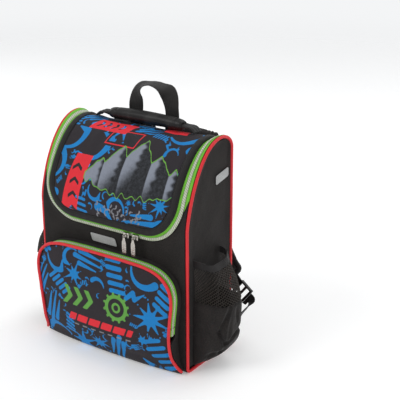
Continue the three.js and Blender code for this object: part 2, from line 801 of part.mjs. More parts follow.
function lowerWebbing(route, side) {
  const { end, along, across } = strapEnd(route);
  const start = end.clone().addScaledVector(along, stubBeyond + buckleLength + 2 * clearance);
  const lie = width / 2 + 2 * clearance + webbingThickness / 2;
  const clearOfPocket = sidePocketFront + sidePocketLength + webbingWidth / 2 + 2 * clearance;
  const anchor = new THREE.Vector3(side * lie, clearOfPocket - depth / 2, webbingAnchor);
  const above = anchor.clone().add(new THREE.Vector3(side * webbingSlack, webbingSlack, webbingWidth * 0.56));
  const straight = start.clone().addScaledVector(along, buckleLength / 3);
  const middle = start.clone().lerp(above, 0.5).add(new THREE.Vector3(side * webbingSlack, webbingSlack, 0));
  return webbing([start, straight, middle, above, anchor], across, webbingWidth, webbingThickness,
    new THREE.Vector3(0, -side, 0));
}

// Handle and hanging loop

const gripAlong = crownAt + (gripBehind - (depth - backRoundDepth));
const lidFace = (x, s, h) => place(x, s, lidLift + lidThickness + lift(x, s) + h);

// The point h above the lid's face behind the crown, at width x and depth y.
function lidAt(x, y, h) {
  let low = crownAt;
  let high = lidStop;
  for (let i = 0; i < 40; i += 1) {
    const middle = (low + high) / 2;
    if (lidFace(x, middle, h).y < y) low = middle;
    else high = middle;
  }
  return lidFace(x, low, h);
}

function gripRing(x, radius) {
  const middle = lidFace(0, gripAlong, gripRadius + gripGap);
  const arched = gripArch * (1 - (x / (gripLength / 2)) ** 2);
  return steps(10, 0, 2 * Math.PI).slice(0, 10).map((a) => {
    const along = middle.y + gripOval * radius * Math.cos(a);
    return new THREE.Vector3(x, along, middle.z + arched + radius * Math.sin(a));
  });
}

function handleGrip() {
  const half = gripLength / 2;
  const taper = [[0, 0.72], [0.03, 0.86], [0.12, 0.95], [0.5, 1], [0.88, 0.95], [0.97, 0.86], [1, 0.72]];
  return loft(taper.map(([share, size]) => gripRing(-half + share * gripLength, gripRadius * size)));
}

function handleEnd(side) {
  const start = gripRing(side * (gripLength / 2 + clearance), 0)[0];
  const foot = lidFace(side * handleReach, gripAlong, clearance + webbingThickness / 2 + gripGap);
  const knee = new THREE.Vector3(side * (handleReach - handleKnee), start.y, start.z);
  return webbing([start, knee, foot], new THREE.Vector3(0, 1, 0), 1.7 * gripRadius, 1.5 * webbingThickness);
}

// The loop is one length of webbing: its legs lie flat, and it turns over on its way across the top.
function hangingLoop() {
  const leg = loopHalfWidth - webbingWidth / 2;
  const y = -depth / 2 + loopBehind;
  const foot = lidAt(loopHalfWidth, y - loopThickness / 2, clearance).z;
  const rise = loopTop - loopThickness / 2 - foot;
  const left = [[-1, 0], [-1.01, 0.45], [-0.78, 0.86]];
  const route = [...left, [0, 1], ...left.map(([x, z]) => [-x, z]).reverse()];
  const line = route.map(([x, z]) => new THREE.Vector3(leg * x, y, foot + rise * z));
  const curve = new THREE.CatmullRomCurve3(line, false, 'centripetal');
  const back = new THREE.Vector3(0, 1, 0);
  return loft(steps(18).map((v) => {
    const p = curve.getPointAt(v);
    const t = v % 1 === 0 ? new THREE.Vector3(0, 0, 1 - 2 * v) : curve.getTangentAt(v);
    const turn = Math.PI / 2 * ease(loopTurn, Math.min(v, 1 - v));
    const out = back.clone().cross(t).negate();
    const level = out.multiplyScalar(Math.cos(turn)).addScaledVector(back, Math.sin(turn));
    const normal = t.clone().cross(level).normalize();
    const at = (u, h) => p.clone().addScaledVector(level, u).addScaledVector(normal, h);
    const [w, h] = [webbingWidth / 2, loopThickness / 2];
    return [at(-w, h), at(w, h), at(w, -h), at(-w, -h)];
  }));
}

// Sliders and pulls

// A slider with its bridge: the bridge's bar lies along X, -Y points outward and the zip runs behind it.
function slider() {
  const body = new THREE.BoxGeometry(sliderLength, sliderHeight, sliderWidth);
  body.translate(0, -sliderHeight / 2, 0);
  const half = sliderLength / 2 - bridgeInset;
  const out = bridgeRise + bridgeRadius * 2;
  const shape = new THREE.Shape();
  shape.moveTo(-half, bridgeRoot);
  shape.lineTo(half, bridgeRoot);
  shape.lineTo(half, -out);
  shape.lineTo(-half, -out);
  shape.closePath();
  const eye = new THREE.Path();
  const inner = half - bridgeLeg;
  eye.moveTo(-inner, -sink);
  eye.lineTo(-inner, -bridgeRise);
  eye.lineTo(inner, -bridgeRise);
  eye.lineTo(inner, -sink);
  eye.closePath();
  shape.holes.push(eye);
  const bridge = extrude(shape, bridgeRadius * 2, 1);
  bridge.translate(0, -sliderHeight + sink, -bridgeRadius);
  return unite([body, bridge]);
}

const barOut = sliderHeight - sink + bridgeRise + bridgeRadius;

// A pull that hangs from the bar: an eye round the bar and a flat tab below it.
function pull() {
  const eyeRadius = bridgeRadius * Math.SQRT2 + clearance;
  const ring = new THREE.Shape();
  ring.absarc(0, 0, eyeRadius + eyeWall, 0, 2 * Math.PI, false);
  const hole = new THREE.Path();
  hole.absarc(0, 0, eyeRadius, 0, 2 * Math.PI, true);
  ring.holes.push(hole);
  const eye = extrude(ring, pullThickness, 6);
  eye.rotateY(Math.PI / 2);
  eye.translate(-pullThickness / 2, 0, 0);
  const tabTop = eyeRadius + eyeWall / 2;
  const half = pullWidth / 2;
  const neck = 0.6 * half;
  const shoulder = -tabTop - 0.3 * pullLength;
  const corners = [[-neck, -tabTop], [-half, shoulder], [-half, -pullLength], [half, -pullLength],
    [half, shoulder], [neck, -tabTop]];
  const tab = roundedOutline(corners.map(([x, y]) => new THREE.Vector2(x, y)), eyeWall);
  const plate = extrude(tab, pullThickness, 2);
  plate.rotateX(Math.PI / 2);
  plate.translate(0, pullThickness / 2, 0);
  return unite([eye, plate]);
}

function addSlider(name, pullName, position, turn) {
  const body = add(name, slider(), 'metal');
  body.position.copy(position);
  body.rotation.z = turn;
  const hanging = add(pullName, pull(), 'metal');
  hanging.rotation.z = turn;
  const bar = new THREE.Vector3(0, -barOut, 0).applyAxisAngle(new THREE.Vector3(0, 0, 1), turn);
  hanging.position.copy(bar.add(position));
}

// Reflective patches

function slantedPatch(length, tall, rise, slant) {
  const [across, up, lean, climb] = [length / 2, tall / 2, slant / 2, rise / 2];
  const corners = [[-across - lean, up - climb], [across - lean, up + climb],
    [across + lean, -up + climb], [-across + lean, -up - climb]];
  const shape = roundedOutline(corners.map(([x, y]) => new THREE.Vector2(x, y)), tall * 0.25);
  return extrude(shape, patchThickness, 3);
}

function frontReflector() {
  const geometry = slantedPatch(frontPatch.length, frontPatch.height, 0, frontPatch.slant);
  geometry.rotateX(Math.PI / 2);
  const z = pocketHeight + pipingRadius + frontPatch.above;
  geometry.translate(frontPatch.x, -depth / 2 - clearance, z);
  return geometry;
}

function sideReflector(side) {
  const geometry = slantedPatch(sidePatch.length, sidePatch.height, sidePatch.rise, 0);
  geometry.rotateX(Math.PI / 2);
  geometry.rotateZ(Math.PI / 2);
  const out = side > 0 ? width / 2 + clearance : -width / 2 - clearance - patchThickness;
  geometry.translate(out, -depth / 2 + sidePatch.behind, sidePatch.up);
  return geometry;
}

function strapReflector(route) {
  const half = strapPatch.length / 2 / route.getLength();
  const lie = strapThickness / 2 + clearance;
  return loft(steps(4, strapPatch.along - half, strapPatch.along + half).map((v) => [
    strapPoint(route, v, -strapPatch.width / 2, lie + patchThickness),
    strapPoint(route, v, strapPatch.width / 2, lie + patchThickness),
    strapPoint(route, v, strapPatch.width / 2, lie),
    strapPoint(route, v, -strapPatch.width / 2, lie),
  ]));
}

// Assembly

const sides = [[-1, 'left'], [1, 'right']];

add('front_panel', frontPanel(), 'cloth');
add('bottom_panel', bottomPanel(), 'cloth');
add('back_panel', backPanel(), 'cloth');
add('back_pad_upper', upperPad(), 'mesh');
add('back_pad_lower', lowerPad(), 'mesh');
add('back_band', backBand(), 'mesh');
add('lid', lid(), 'print');
const bindingLap = 0.5; // by which the binding is thicker than the lid on either face
const bindingTop = lidLift + lidThickness + bindingLap;
add('lid_binding', ribbon(arch, -bindingWidth, 0, lidLift - bindingLap, bindingTop), 'binding');
add('zip_tape_inner', ribbon(arch, clearance, clearance + tapeInnerWidth, 0, tapeThickness), 'tape');
const coilSeat = -0.4;
add('zip_coil', ribbon(arch, coilStart, coilEnd, coilSeat, coilSeat + coilThickness), 'coil');
for (const [side, label] of sides) {
  add(`side_panel_${label}`, sidePanel(side), 'cloth');
  add(`piping_${label}`, piping(side), 'piping');
  add(`zip_tape_outer_${label}`, outerTape(side), 'tape');
  add(`side_pocket_${label}`, sidePocketPart(side, 0, pouchLevel, 8, sidePocketWall), 'cloth');
  const gapLevel = clearance / sidePocketHeight;
  const net = sidePocketPart(side, pouchLevel + gapLevel, rimLevel - gapLevel, 4, netThickness);
  add(`side_pocket_mesh_${label}`, net, 'mesh');
  const rim = sidePocketPart(side, rimLevel, 1, 1, sidePocketWall + rimExtra);
  add(`side_pocket_binding_${label}`, rim, 'binding');
  add(`side_reflector_${label}`, sideReflector(side), 'reflective');
  const route = strapRoute(side);
  add(`shoulder_strap_${label}`, shoulderStrap(route), 'cloth');
  add(`strap_binding_${label}`, strapBinding(route), 'binding');
  add(`strap_reflector_${label}`, strapReflector(route), 'reflective');
  add(`strap_webbing_${label}`, webbingStub(route), 'binding');
  add(`ladder_buckle_${label}`, ladderBuckle(route), 'plastic');
  add(`lower_webbing_${label}`, lowerWebbing(route, side), 'binding');
  add(`handle_webbing_${label}`, handleEnd(side), 'binding');
}
add('handle_grip', handleGrip(), 'rubber');
add('hanging_loop', hangingLoop(), 'binding');
add('pocket_face', pocketPanel(), 'print');
add('pocket_piping', pocketPiping(), 'piping');
add('pocket_gusset', pocketGusset(), 'cloth');
add('pocket_zip_tape_back', pocketZip(clearance, pocketTapeWidth - clearance, tapeThickness, 0), 'tape');
add('pocket_zip_coil', pocketZip(pocketTapeWidth + clearance, pocketCoilWidth, coilThickness, 0), 'coil');
add('pocket_zip_tape_front', pocketZip(pocketTapeWidth + pocketCoilWidth + 2 * clearance, pocketTapeWidth,
  tapeThickness, 0), 'tape');
add('front_reflector', frontReflector(), 'reflective');

const coilMiddle = lidStart - (coilStart + coilEnd) / 2;
mainSliderX.forEach((x, i) => {
  const position = place(x, coilMiddle, tapeThickness + lift(x, lidStart) + clearance);
  addSlider(`zip_slider_${i + 1}`, `zip_pull_${i + 1}`, position, 0);
});
const pocketSeatPoint = pocketFace(-1, pocketSliderAlong, pocketCoilMiddle);
pocketSeatPoint.x -= 3 * clearance;
addSlider('pocket_slider', 'pocket_pull', pocketSeatPoint, -Math.PI / 2);

export default ransel;
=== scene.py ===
"""A school ransel, dressed: printed lid and pocket, piping, zips, straps, webbing, padding and metal.

Sizes are in millimetres and become metres where a piece is laid. X is the width, -Y the front, +Y the side
that is worn on the back, and Z goes up from the ground.
"""

from __future__ import annotations

import logging
import math
from dataclasses import dataclass, field
from enum import Enum
from typing import Callable, Sequence

import bpy
import numpy as np
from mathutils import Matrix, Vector

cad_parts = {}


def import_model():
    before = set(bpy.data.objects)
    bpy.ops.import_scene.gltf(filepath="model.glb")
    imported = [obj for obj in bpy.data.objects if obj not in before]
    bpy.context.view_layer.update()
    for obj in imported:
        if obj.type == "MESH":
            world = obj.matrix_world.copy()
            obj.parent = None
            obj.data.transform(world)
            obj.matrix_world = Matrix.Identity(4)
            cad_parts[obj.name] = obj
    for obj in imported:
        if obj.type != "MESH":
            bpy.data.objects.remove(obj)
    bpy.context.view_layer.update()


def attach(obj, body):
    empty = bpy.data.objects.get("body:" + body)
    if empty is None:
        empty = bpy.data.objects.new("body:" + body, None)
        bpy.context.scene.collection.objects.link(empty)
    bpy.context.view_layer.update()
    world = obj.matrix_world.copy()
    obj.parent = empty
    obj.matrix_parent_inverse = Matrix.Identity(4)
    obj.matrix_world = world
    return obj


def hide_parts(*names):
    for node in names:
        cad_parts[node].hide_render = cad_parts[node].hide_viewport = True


LOG = logging.getLogger("ransel")
MM = 0.001
BODY = "ransel"
NUMBER = "NodeSocketFloat"
Array = np.ndarray
Piece = bpy.types.Object


# Measures


@dataclass(frozen=True)
class Drawing:
    """Sizes that several pieces share."""

    width: float = 265.0
    depth: float = 117.0
    height: float = 338.0
    wall: float = 3.0
    clearance: float = 0.3
    piping: float = 2.4
    front_rise: float = 218.0
    front_lean: float = 21.0
    crown_reach: float = 59.0
    back_round_depth: float = 30.0
    back_round_drop: float = 23.0
    base_round: float = 8.0
    lid_half: float = 116.0
    lid_corner: float = 52.0
    lid_bottom: float = 204.0
    lid_end: float = 46.0
    lid_thick: float = 4.0
    lid_lift: float = 1.0
    lid_sag: float = 9.0
    lid_crown: float = 4.0
    binding: float = 11.0
    tape_inner: float = 3.4
    coil: float = 5.0
    tape_thick: float = 1.2
    coil_thick: float = 2.0
    webbing: float = 25.0
    sliders_at: tuple[float, float] = (34.0, 50.0)
    pocket_slider_up: float = 0.43

    @property
    def panel_half(self) -> float:
        """Half the width of the panels between the pipings."""
        return self.width / 2 - self.piping - self.clearance

    @property
    def coil_start(self) -> float:
        """Distance from the lid's edge out to the zip's coil."""
        return self.tape_inner + 2 * self.clearance

    @property
    def tape_outer(self) -> float:
        """Distance from the lid's edge out to the outer tape."""
        return self.coil_start + self.coil + self.clearance

    @property
    def band_total(self) -> float:
        """Distance from the lid's edge out to the panels' side edge."""
        return self.panel_half - self.lid_half


def ease(table: Sequence[tuple[float, float]], share: Array) -> Array:
    """A smooth curve through a short table.

    Args:
        table: Rows of share and value, in rising shares.
        share: Where to read the curve.

    Returns:
        The curve's values.
    """
    knots = np.array(table, float)
    x, y = knots[:, 0], knots[:, 1]
    last = len(x) - 1
    share = np.asarray(share, float)
    k = np.clip(np.searchsorted(x, share, side="left") - 1, 0, last - 1)
    span = x[k + 1] - x[k]
    t = np.clip((share - x[k]) / span, 0, 1)
    before = np.maximum(np.arange(last + 1) - 1, 0)
    after = np.minimum(np.arange(last + 1) + 1, last)
    slope = (y[after] - y[before]) / (x[after] - x[before])
    low = y[k] * (2 * t**3 - 3 * t**2 + 1) + slope[k] * span * (t**3 - 2 * t**2 + t)
    return low + y[k + 1] * (3 * t**2 - 2 * t**3) + slope[k + 1] * span * (t**3 - t**2)


def unit(vectors: Array) -> Array:
    """The same directions at length 1."""
    return vectors / np.maximum(np.linalg.norm(vectors, axis=-1, keepdims=True), 1e-9)


def smoothstep(low: float, high: float, value: Array) -> Array:
    """A soft step from 0 at low to 1 at high."""
    t = np.clip((np.asarray(value, float) - low) / (high - low), 0, 1)
    return t * t * (3 - 2 * t)


class Ripples:
    """Smooth irregular waves, the same on each run."""

    def __init__(self, seed: int, wavelength: float, waves: int = 9, stretch: float = 1.0) -> None:
        """Draws the waves.

        Args:
            seed: Start of the random draw.
            wavelength: Usual length of a wave.
            waves: How many waves are added up.
            stretch: How much longer the waves are in the second direction.
        """
        rng = np.random.default_rng(seed)
        turn = rng.uniform(0, 2 * math.pi, waves)
        length = wavelength * rng.uniform(0.6, 1.6, waves)
        self.k = 2 * math.pi * np.stack([np.cos(turn) / length, np.sin(turn) / (length * stretch)], 1)
        self.phase = rng.uniform(0, 2 * math.pi, waves)
        self.size = rng.uniform(0.4, 1.0, waves)

    def at(self, a: Array, b: Array) -> Array:
        """Height of the waves, about -1 to 1."""
        wave = np.sin(np.multiply.outer(a, self.k[:, 0]) + np.multiply.outer(b, self.k[:, 1]) + self.phase)
        return (wave * self.size).sum(-1) / self.size.sum() * 2


class Outline:
    """The body's outline from the side, measured along its length from the foot of the front."""

    def __init__(self, drawing: Drawing) -> None:
        """Draws the outline finely and measures it."""
        d = drawing
        self.depth = d.depth
        crown = d.depth - d.back_round_depth
        t = np.linspace(0, 1, 400)[:, None]
        lean = [np.array(p) for p in ((0, d.front_rise), (0, d.front_rise + d.front_lean),
                                      (crown - d.crown_reach, d.height), (crown, d.height))]
        arch = (1 - t)**3 * lean[0] + 3 * t * (1 - t)**2 * lean[1]
        arch = arch + 3 * t**2 * (1 - t) * lean[2] + t**3 * lean[3]
        parts = [
            self.line((0, d.base_round), (0, d.front_rise)),
            arch,
            self.arc((crown, d.height - d.back_round_drop), (d.back_round_depth, d.back_round_drop), 90, 0),
            self.line((d.depth, d.height - d.back_round_drop), (d.depth, d.base_round)),
            self.arc((d.depth - d.base_round, d.base_round), (d.base_round, d.base_round), 0, -90),
            self.line((d.depth - d.base_round, 0), (d.base_round, 0)),
            self.arc((d.base_round, d.base_round), (d.base_round, d.base_round), -90, -180),
        ]
        marks = []
        total = 0.0
        for part in parts:
            total += np.linalg.norm(np.diff(part, axis=0), axis=1).sum()
            marks.append(total)
        points = np.concatenate([parts[0]] + [p[1:] for p in parts[1:]])
        step = np.linalg.norm(np.diff(points, axis=0), axis=1)
        self.run = np.concatenate([[0], np.cumsum(step)])
        self.points = points
        _, self.crown_at, self.back_top, self.back_foot, _, _, self.around = marks
        self.tangents = unit(np.gradient(points, self.run, axis=0))
        self.lid_start = d.lid_bottom - d.base_round
        self.lid_stop = self.back_top + d.lid_end - d.back_round_drop

    @staticmethod
    def line(start: tuple[float, float], end: tuple[float, float]) -> Array:
        """Points along a straight line."""
        return np.linspace(start, end, 300)

    @staticmethod
    def arc(centre: tuple[float, float], radii: tuple[float, float], start: float, end: float) -> Array:
        """Points along an arc, between two angles in degrees."""
        a = np.radians(np.linspace(start, end, 120))
        return np.stack([centre[0] + radii[0] * np.cos(a), centre[1] + radii[1] * np.sin(a)], 1)

    def place(self, x: Array, s: Array, out: Array) -> Array:
        """Points at width x and length s along the outline, out outside it."""
        x, s, out = np.broadcast_arrays(np.asarray(x, float), s, out)
        s = np.clip(s, 0, self.around)
        y, z = (np.interp(s, self.run, self.points[:, i]) for i in (0, 1))
        ty, tz = (np.interp(s, self.run, self.tangents[:, i]) for i in (0, 1))
        return np.stack([x, y - self.depth / 2 - tz * out, z + ty * out], -1)

    def down_back(self, z: Array) -> Array:
        """Length along the outline where the straight back has the height z."""
        return self.back_top + self.points[:, 1][np.searchsorted(self.run, self.back_top)] - z


class Route:
    """A smooth line through points, measured by its length."""

    def __init__(self, points: Sequence[Sequence[float]]) -> None:
        """Fits a centripetal spline through the points."""
        p = np.array(points, float)
        p = np.concatenate([[2 * p[0] - p[1]], p, [2 * p[-1] - p[-2]]])
        dense = []
        for k in range(1, len(p) - 2):
            a, b, c, d = p[k - 1:k + 3]
            gaps = [max(np.linalg.norm(v), 1e-9)**0.5 for v in (b - a, c - b, d - c)]
            start = ((b - a) / gaps[0] - (c - a) / (gaps[0] + gaps[1]) + (c - b) / gaps[1]) * gaps[1]
            end = ((c - b) / gaps[1] - (d - b) / (gaps[1] + gaps[2]) + (d - c) / gaps[2]) * gaps[1]
            t = np.linspace(0, 1, 81)[:, None]
            part = b + start * t + (3 * (c - b) - 2 * start - end) * t**2 + (2 * (b - c) + start + end) * t**3
            dense.append(part if k == 1 else part[1:])
        self.points = np.concatenate(dense)
        step = np.linalg.norm(np.diff(self.points, axis=0), axis=1)
        self.run = np.concatenate([[0], np.cumsum(step)])
        self.length = self.run[-1]
        self.tangents = unit(np.gradient(self.points, self.run, axis=0))

    def at(self, share: Array) -> tuple[Array, Array]:
        """Points and directions at shares of the length."""
        s = np.asarray(share, float) * self.length
        point = np.stack([np.interp(s, self.run, self.points[:, i]) for i in range(3)], -1)
        along = np.stack([np.interp(s, self.run, self.tangents[:, i]) for i in range(3)], -1)
        return point, unit(along)


# The workbench


class Bench:
    """Cuts, bends and joins meshes with Blender's own tools."""

    @staticmethod
    def clear() -> None:
        """Leaves nothing selected."""
        bpy.ops.object.select_all(action="DESELECT")

    @staticmethod
    def take(piece: Piece) -> None:
        """Selects one piece and makes it the active one."""
        Bench.clear()
        piece.select_set(True)
        bpy.context.view_layer.objects.active = piece

    @staticmethod
    def named(name: str) -> Piece:
        """Names the piece that was just added, and its mesh."""
        piece = bpy.context.object
        piece.name = name
        piece.data.name = name
        return piece

    @staticmethod
    def points_of(piece: Piece) -> Array:
        """Places of a piece's vertices, in millimetres."""
        flat = np.zeros(len(piece.data.vertices) * 3, np.float64)
        piece.data.vertices.foreach_get("co", flat)
        return flat.reshape(-1, 3) / MM

    @staticmethod
    def lay(piece: Piece, points: Array) -> None:
        """Moves a piece's vertices to places in millimetres."""
        piece.data.vertices.foreach_set("co", (np.asarray(points, float) * MM).ravel())
        piece.data.update()

    @staticmethod
    def paint(piece: Piece, name: str, values: Array) -> None:
        """Stores one number for each vertex."""
        attribute = piece.data.attributes.new(name, "FLOAT", "POINT")
        attribute.data.foreach_set("value", np.asarray(values, np.float32).ravel())

    @staticmethod
    def cloth(name: str, points: Array, chart: Array | None = None) -> Piece:
        """A flat grid of cloth, laid on a table of points.

        Args:
            name: Name of the piece.
            points: Rows and columns of places.
            chart: The same rows and columns of places in the flat cut. Without it they are measured.

        Returns:
            The piece, with its cut in millimetres as its UV map.
        """
        rows, columns = points.shape[:2]
        Bench.clear()
        bpy.ops.mesh.primitive_grid_add(x_subdivisions=columns - 1, y_subdivisions=rows - 1, size=2)
        piece = Bench.named(name)
        start = Bench.points_of(piece) * MM
        column = np.rint((start[:, 0] + 1) / 2 * (columns - 1)).astype(int)
        row = np.rint((start[:, 1] + 1) / 2 * (rows - 1)).astype(int)
        Bench.lay(piece, points[row, column])
        if chart is None:
            across = np.linalg.norm(np.diff(points, axis=1), axis=2).mean(0)
            along = np.linalg.norm(np.diff(points, axis=0), axis=2).mean(1)
            u = np.concatenate([[0], np.cumsum(across)])
            v = np.concatenate([[0], np.cumsum(along)])
            chart = np.stack(np.meshgrid(u, v), -1)
        corners = np.zeros(len(piece.data.loops), np.int32)
        piece.data.loops.foreach_get("vertex_index", corners)
        cut = chart[row[corners], column[corners]]
        piece.data.uv_layers.active.data.foreach_set("uv", cut.astype(np.float32).ravel())
        return piece

    @staticmethod
    def loft(name: str, rings: Array, closed: bool = False, flip: bool = False) -> Piece:
        """A skin through closed rings of points, capped at both ends unless it closes on itself.

        Args:
            name: Name of the piece.
            rings: Rings and points of each ring.
            closed: Whether the last ring joins the first.
            flip: Whether the faces come out turned inwards and are turned round.

        Returns:
            The piece.
        """
        table = np.concatenate([rings, rings[:, :1]], axis=1)
        if closed:
            table = np.concatenate([table, table[:1]], axis=0)
        piece = Bench.cloth(name, table)
        Bench.take(piece)
        bpy.ops.object.mode_set(mode="EDIT")
        bpy.ops.mesh.select_mode(type="EDGE")
        bpy.ops.mesh.select_all(action="SELECT")
        bpy.ops.mesh.remove_doubles(threshold=1e-6)
        if not closed:
            bpy.ops.mesh.select_all(action="DESELECT")
            bpy.ops.mesh.select_non_manifold(extend=False, use_wire=False, use_boundary=True,
                                             use_multi_face=False, use_non_contiguous=False, use_verts=False)
            bpy.ops.mesh.edge_face_add()
        bpy.ops.mesh.select_all(action="SELECT")
        if flip:
            bpy.ops.mesh.flip_normals()
        bpy.ops.mesh.select_mode(type="VERT")
        bpy.ops.object.mode_set(mode="OBJECT")
        return piece

    @staticmethod
    def skin(name: str, upper: Array, lower: Array, closed: bool = False, flip: bool = False) -> Piece:
        """A closed body between two tables of points that share their side edges."""
        return Bench.loft(name, np.concatenate([upper, lower[:, ::-1]], axis=1), closed, flip)

    @staticmethod
    def modifier(piece: Piece, kind: str, **settings: object) -> None:
        """Adds a modifier with its settings and applies it."""
        Bench.take(piece)
        added = piece.modifiers.new(kind.title(), kind)
        for key, value in settings.items():
            setattr(added, key, value)
        bpy.ops.object.modifier_apply(modifier=added.name)

    @staticmethod
    def thicken(piece: Piece, thickness: float, inward: bool = True) -> None:
        """Gives a sheet its thickness, behind its face or before it."""
        Bench.modifier(piece, "SOLIDIFY", thickness=thickness * MM, offset=-1.0 if inward else 1.0)

    @staticmethod
    def bevel(piece: Piece, width: float, segments: int = 2, angle: float = 40) -> None:
        """Rounds a piece's sharp edges."""
        Bench.modifier(piece, "BEVEL", width=width * MM, segments=segments, limit_method="ANGLE",
                       angle_limit=math.radians(angle))

    @staticmethod
    def subdivide(piece: Piece, levels: int = 1) -> None:
        """Rounds a piece by subdivision."""
        Bench.modifier(piece, "SUBSURF", levels=levels, render_levels=levels)

    @staticmethod
    def smooth(piece: Piece, angle: float = 50) -> None:
        """Shades a piece smoothly up to an angle between its faces."""
        Bench.take(piece)
        bpy.ops.object.shade_smooth_by_angle(angle=math.radians(angle))

    @staticmethod
    def join(pieces: Sequence[Piece]) -> Piece:
        """Joins pieces into the first of them."""
        Bench.clear()
        for piece in pieces:
            piece.select_set(True)
        bpy.context.view_layer.objects.active = pieces[0]
        bpy.ops.object.join()
        return pieces[0]

    @staticmethod
    def inflate(piece: Piece, voxel: float, pressure: float, cap: float, frames: int = 20) -> None:
        """Fills a closed piece like a cushion with Blender's cloth.

        Args:
            piece: The closed piece, a little smaller than it ends.
            voxel: Size of its new faces.
            pressure: How hard it is filled.
            cap: How far a point may move.
            frames: How long the cloth is worked out for.
        """
        Bench.modifier(piece, "REMESH", mode="VOXEL", voxel_size=voxel * MM)
        start = Bench.points_of(piece)
        Bench.take(piece)
        added = piece.modifiers.new("Filling", "CLOTH")
        added.settings.use_pressure = True
        added.settings.uniform_pressure_force = pressure
        added.settings.tension_stiffness = 25
        added.settings.compression_stiffness = 25
        added.settings.bending_stiffness = 2
        added.settings.quality = 5
        added.settings.effector_weights.gravity = 0
        scene = bpy.context.scene
        for frame in range(1, frames + 1):
            scene.frame_set(frame)
        shape = piece.evaluated_get(bpy.context.evaluated_depsgraph_get())
        flat = np.zeros(len(shape.data.vertices) * 3, np.float64)
        shape.data.vertices.foreach_get("co", flat)
        piece.modifiers.remove(added)
        scene.frame_set(1)
        move = flat.reshape(-1, 3) / MM - start
        length = np.linalg.norm(move, axis=1, keepdims=True)
        Bench.lay(piece, start + move * np.minimum(1, cap / np.maximum(length, 1e-6)))
        Bench.subdivide(piece)
        Bench.smooth(piece, 80)

    @staticmethod
    def hand_over(piece: Piece, material: bpy.types.Material, slot: str, nodes: Sequence[str],
                  body: str = BODY) -> None:
        """Turns a piece's faces outward, dresses it, ties it to its body and hides what it stands for."""
        mesh = piece.data
        mesh.calc_loop_triangles()
        corners = np.zeros(len(mesh.loop_triangles) * 3, np.int32)
        mesh.loop_triangles.foreach_get("vertices", corners)
        a, b, c = np.moveaxis(Bench.points_of(piece)[corners.reshape(-1, 3)], 1, 0)
        if np.sum(a * np.cross(b, c)) < 0:
            Bench.take(piece)
            bpy.ops.object.mode_set(mode="EDIT")
            bpy.ops.mesh.select_all(action="SELECT")
            bpy.ops.mesh.flip_normals()
            bpy.ops.object.mode_set(mode="OBJECT")
            LOG.info("%s: faces turned outward", piece.name)
        Bench.smooth(piece)
        piece.data.materials.clear()
        piece.data.materials.append(material)
        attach(piece, body)
        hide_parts(*nodes)
        LOG.info("%s: %d faces", piece.name, len(piece.data.polygons))


# Shader building


class Graph:
    """A node tree that is being wired."""

    def __init__(self, tree: bpy.types.NodeTree) -> None:
        """Takes an empty node tree."""
        self.tree = tree

    def node(self, kind: str, **inputs: object) -> bpy.types.Node:
        """Adds a node; inputs are its sockets by name, with spaces as underscores."""
        made = self.tree.nodes.new(kind)
        for key, value in inputs.items():
            self.feed(made.inputs[key.replace("_", " ")], value)
        return made

    def feed(self, socket: bpy.types.NodeSocket, value: object) -> None:
        """Links a socket, or sets it to a value."""
        if isinstance(value, bpy.types.NodeSocket):
            self.tree.links.new(value, socket)
        else:
            socket.default_value = value

    def math(self, operation: str, a: object, b: object = None, c: object = None) -> bpy.types.NodeSocket:
        """One step of arithmetic."""
        made = self.tree.nodes.new("ShaderNodeMath")
        made.operation = operation
        for socket, value in zip(made.inputs, (a, b, c)):
            if value is not None:
                self.feed(socket, value)
        return made.outputs[0]

    def step(self, value: object, low: float, high: float) -> bpy.types.NodeSocket:
        """A soft step from 0 at low to 1 at high; with high below low it falls."""
        made = self.tree.nodes.new("ShaderNodeMapRange")
        made.interpolation_type = "SMOOTHSTEP"
        swap = high < low
        self.feed(made.inputs["Value"], value)
        made.inputs["From Min"].default_value = high if swap else low
        made.inputs["From Max"].default_value = low if swap else high
        made.inputs["To Min"].default_value = 1.0 if swap else 0.0
        made.inputs["To Max"].default_value = 0.0 if swap else 1.0
        return made.outputs[0]

    def mix(self, factor: object, a: object, b: object) -> bpy.types.NodeSocket:
        """A colour between two."""
        made = self.tree.nodes.new("ShaderNodeMix")
        made.data_type = "RGBA"
        for socket, value in zip((made.inputs[0], made.inputs[6], made.inputs[7]), (factor, a, b)):
            self.feed(socket, value)
        return made.outputs[2]

    def blend(self, factor: object, a: object, b: object) -> bpy.types.NodeSocket:
        """A number between two."""
        return self.math("ADD", a, self.math("MULTIPLY", self.math("SUBTRACT", b, a), factor))

    def noise(self, vector: object, scale: float, detail: float = 3.0,
              rough: float = 0.5) -> bpy.types.NodeSocket:
        """Noise of about 0 to 1, with scale in waves per unit of the vector."""
        made = self.node("ShaderNodeTexNoise", Vector=vector, Scale=scale, Detail=detail, Roughness=rough)
        return made.outputs["Fac"]

    def read(self, name: str) -> bpy.types.NodeSocket:
        """A number that the piece stores for each vertex."""
        made = self.tree.nodes.new("ShaderNodeAttribute")
        made.attribute_name = name
        return made.outputs["Fac"]

    def split(self, vector: object) -> tuple[bpy.types.NodeSocket, bpy.types.NodeSocket]:
        """The first two parts of a vector."""
        made = self.node("ShaderNodeSeparateXYZ", Vector=vector)
        return made.outputs[0], made.outputs[1]

    def use(self, effect: bpy.types.NodeTree, **inputs: object) -> bpy.types.Node:
        """Places a shared effect and feeds its inputs."""
        made = self.tree.nodes.new("ShaderNodeGroup")
        made.node_tree = effect
        for key, value in inputs.items():
            self.feed(made.inputs[key.replace("_", " ")], value)
        return made


def tone(code: str) -> tuple[float, float, float, float]:
    """A colour from its usual six-figure code, as linear light."""
    parts = [int(code[i:i + 2], 16) / 255 for i in (1, 3, 5)]
    return (*[p / 12.92 if p <= 0.04045 else ((p + 0.055) / 1.055)**2.4 for p in parts], 1.0)


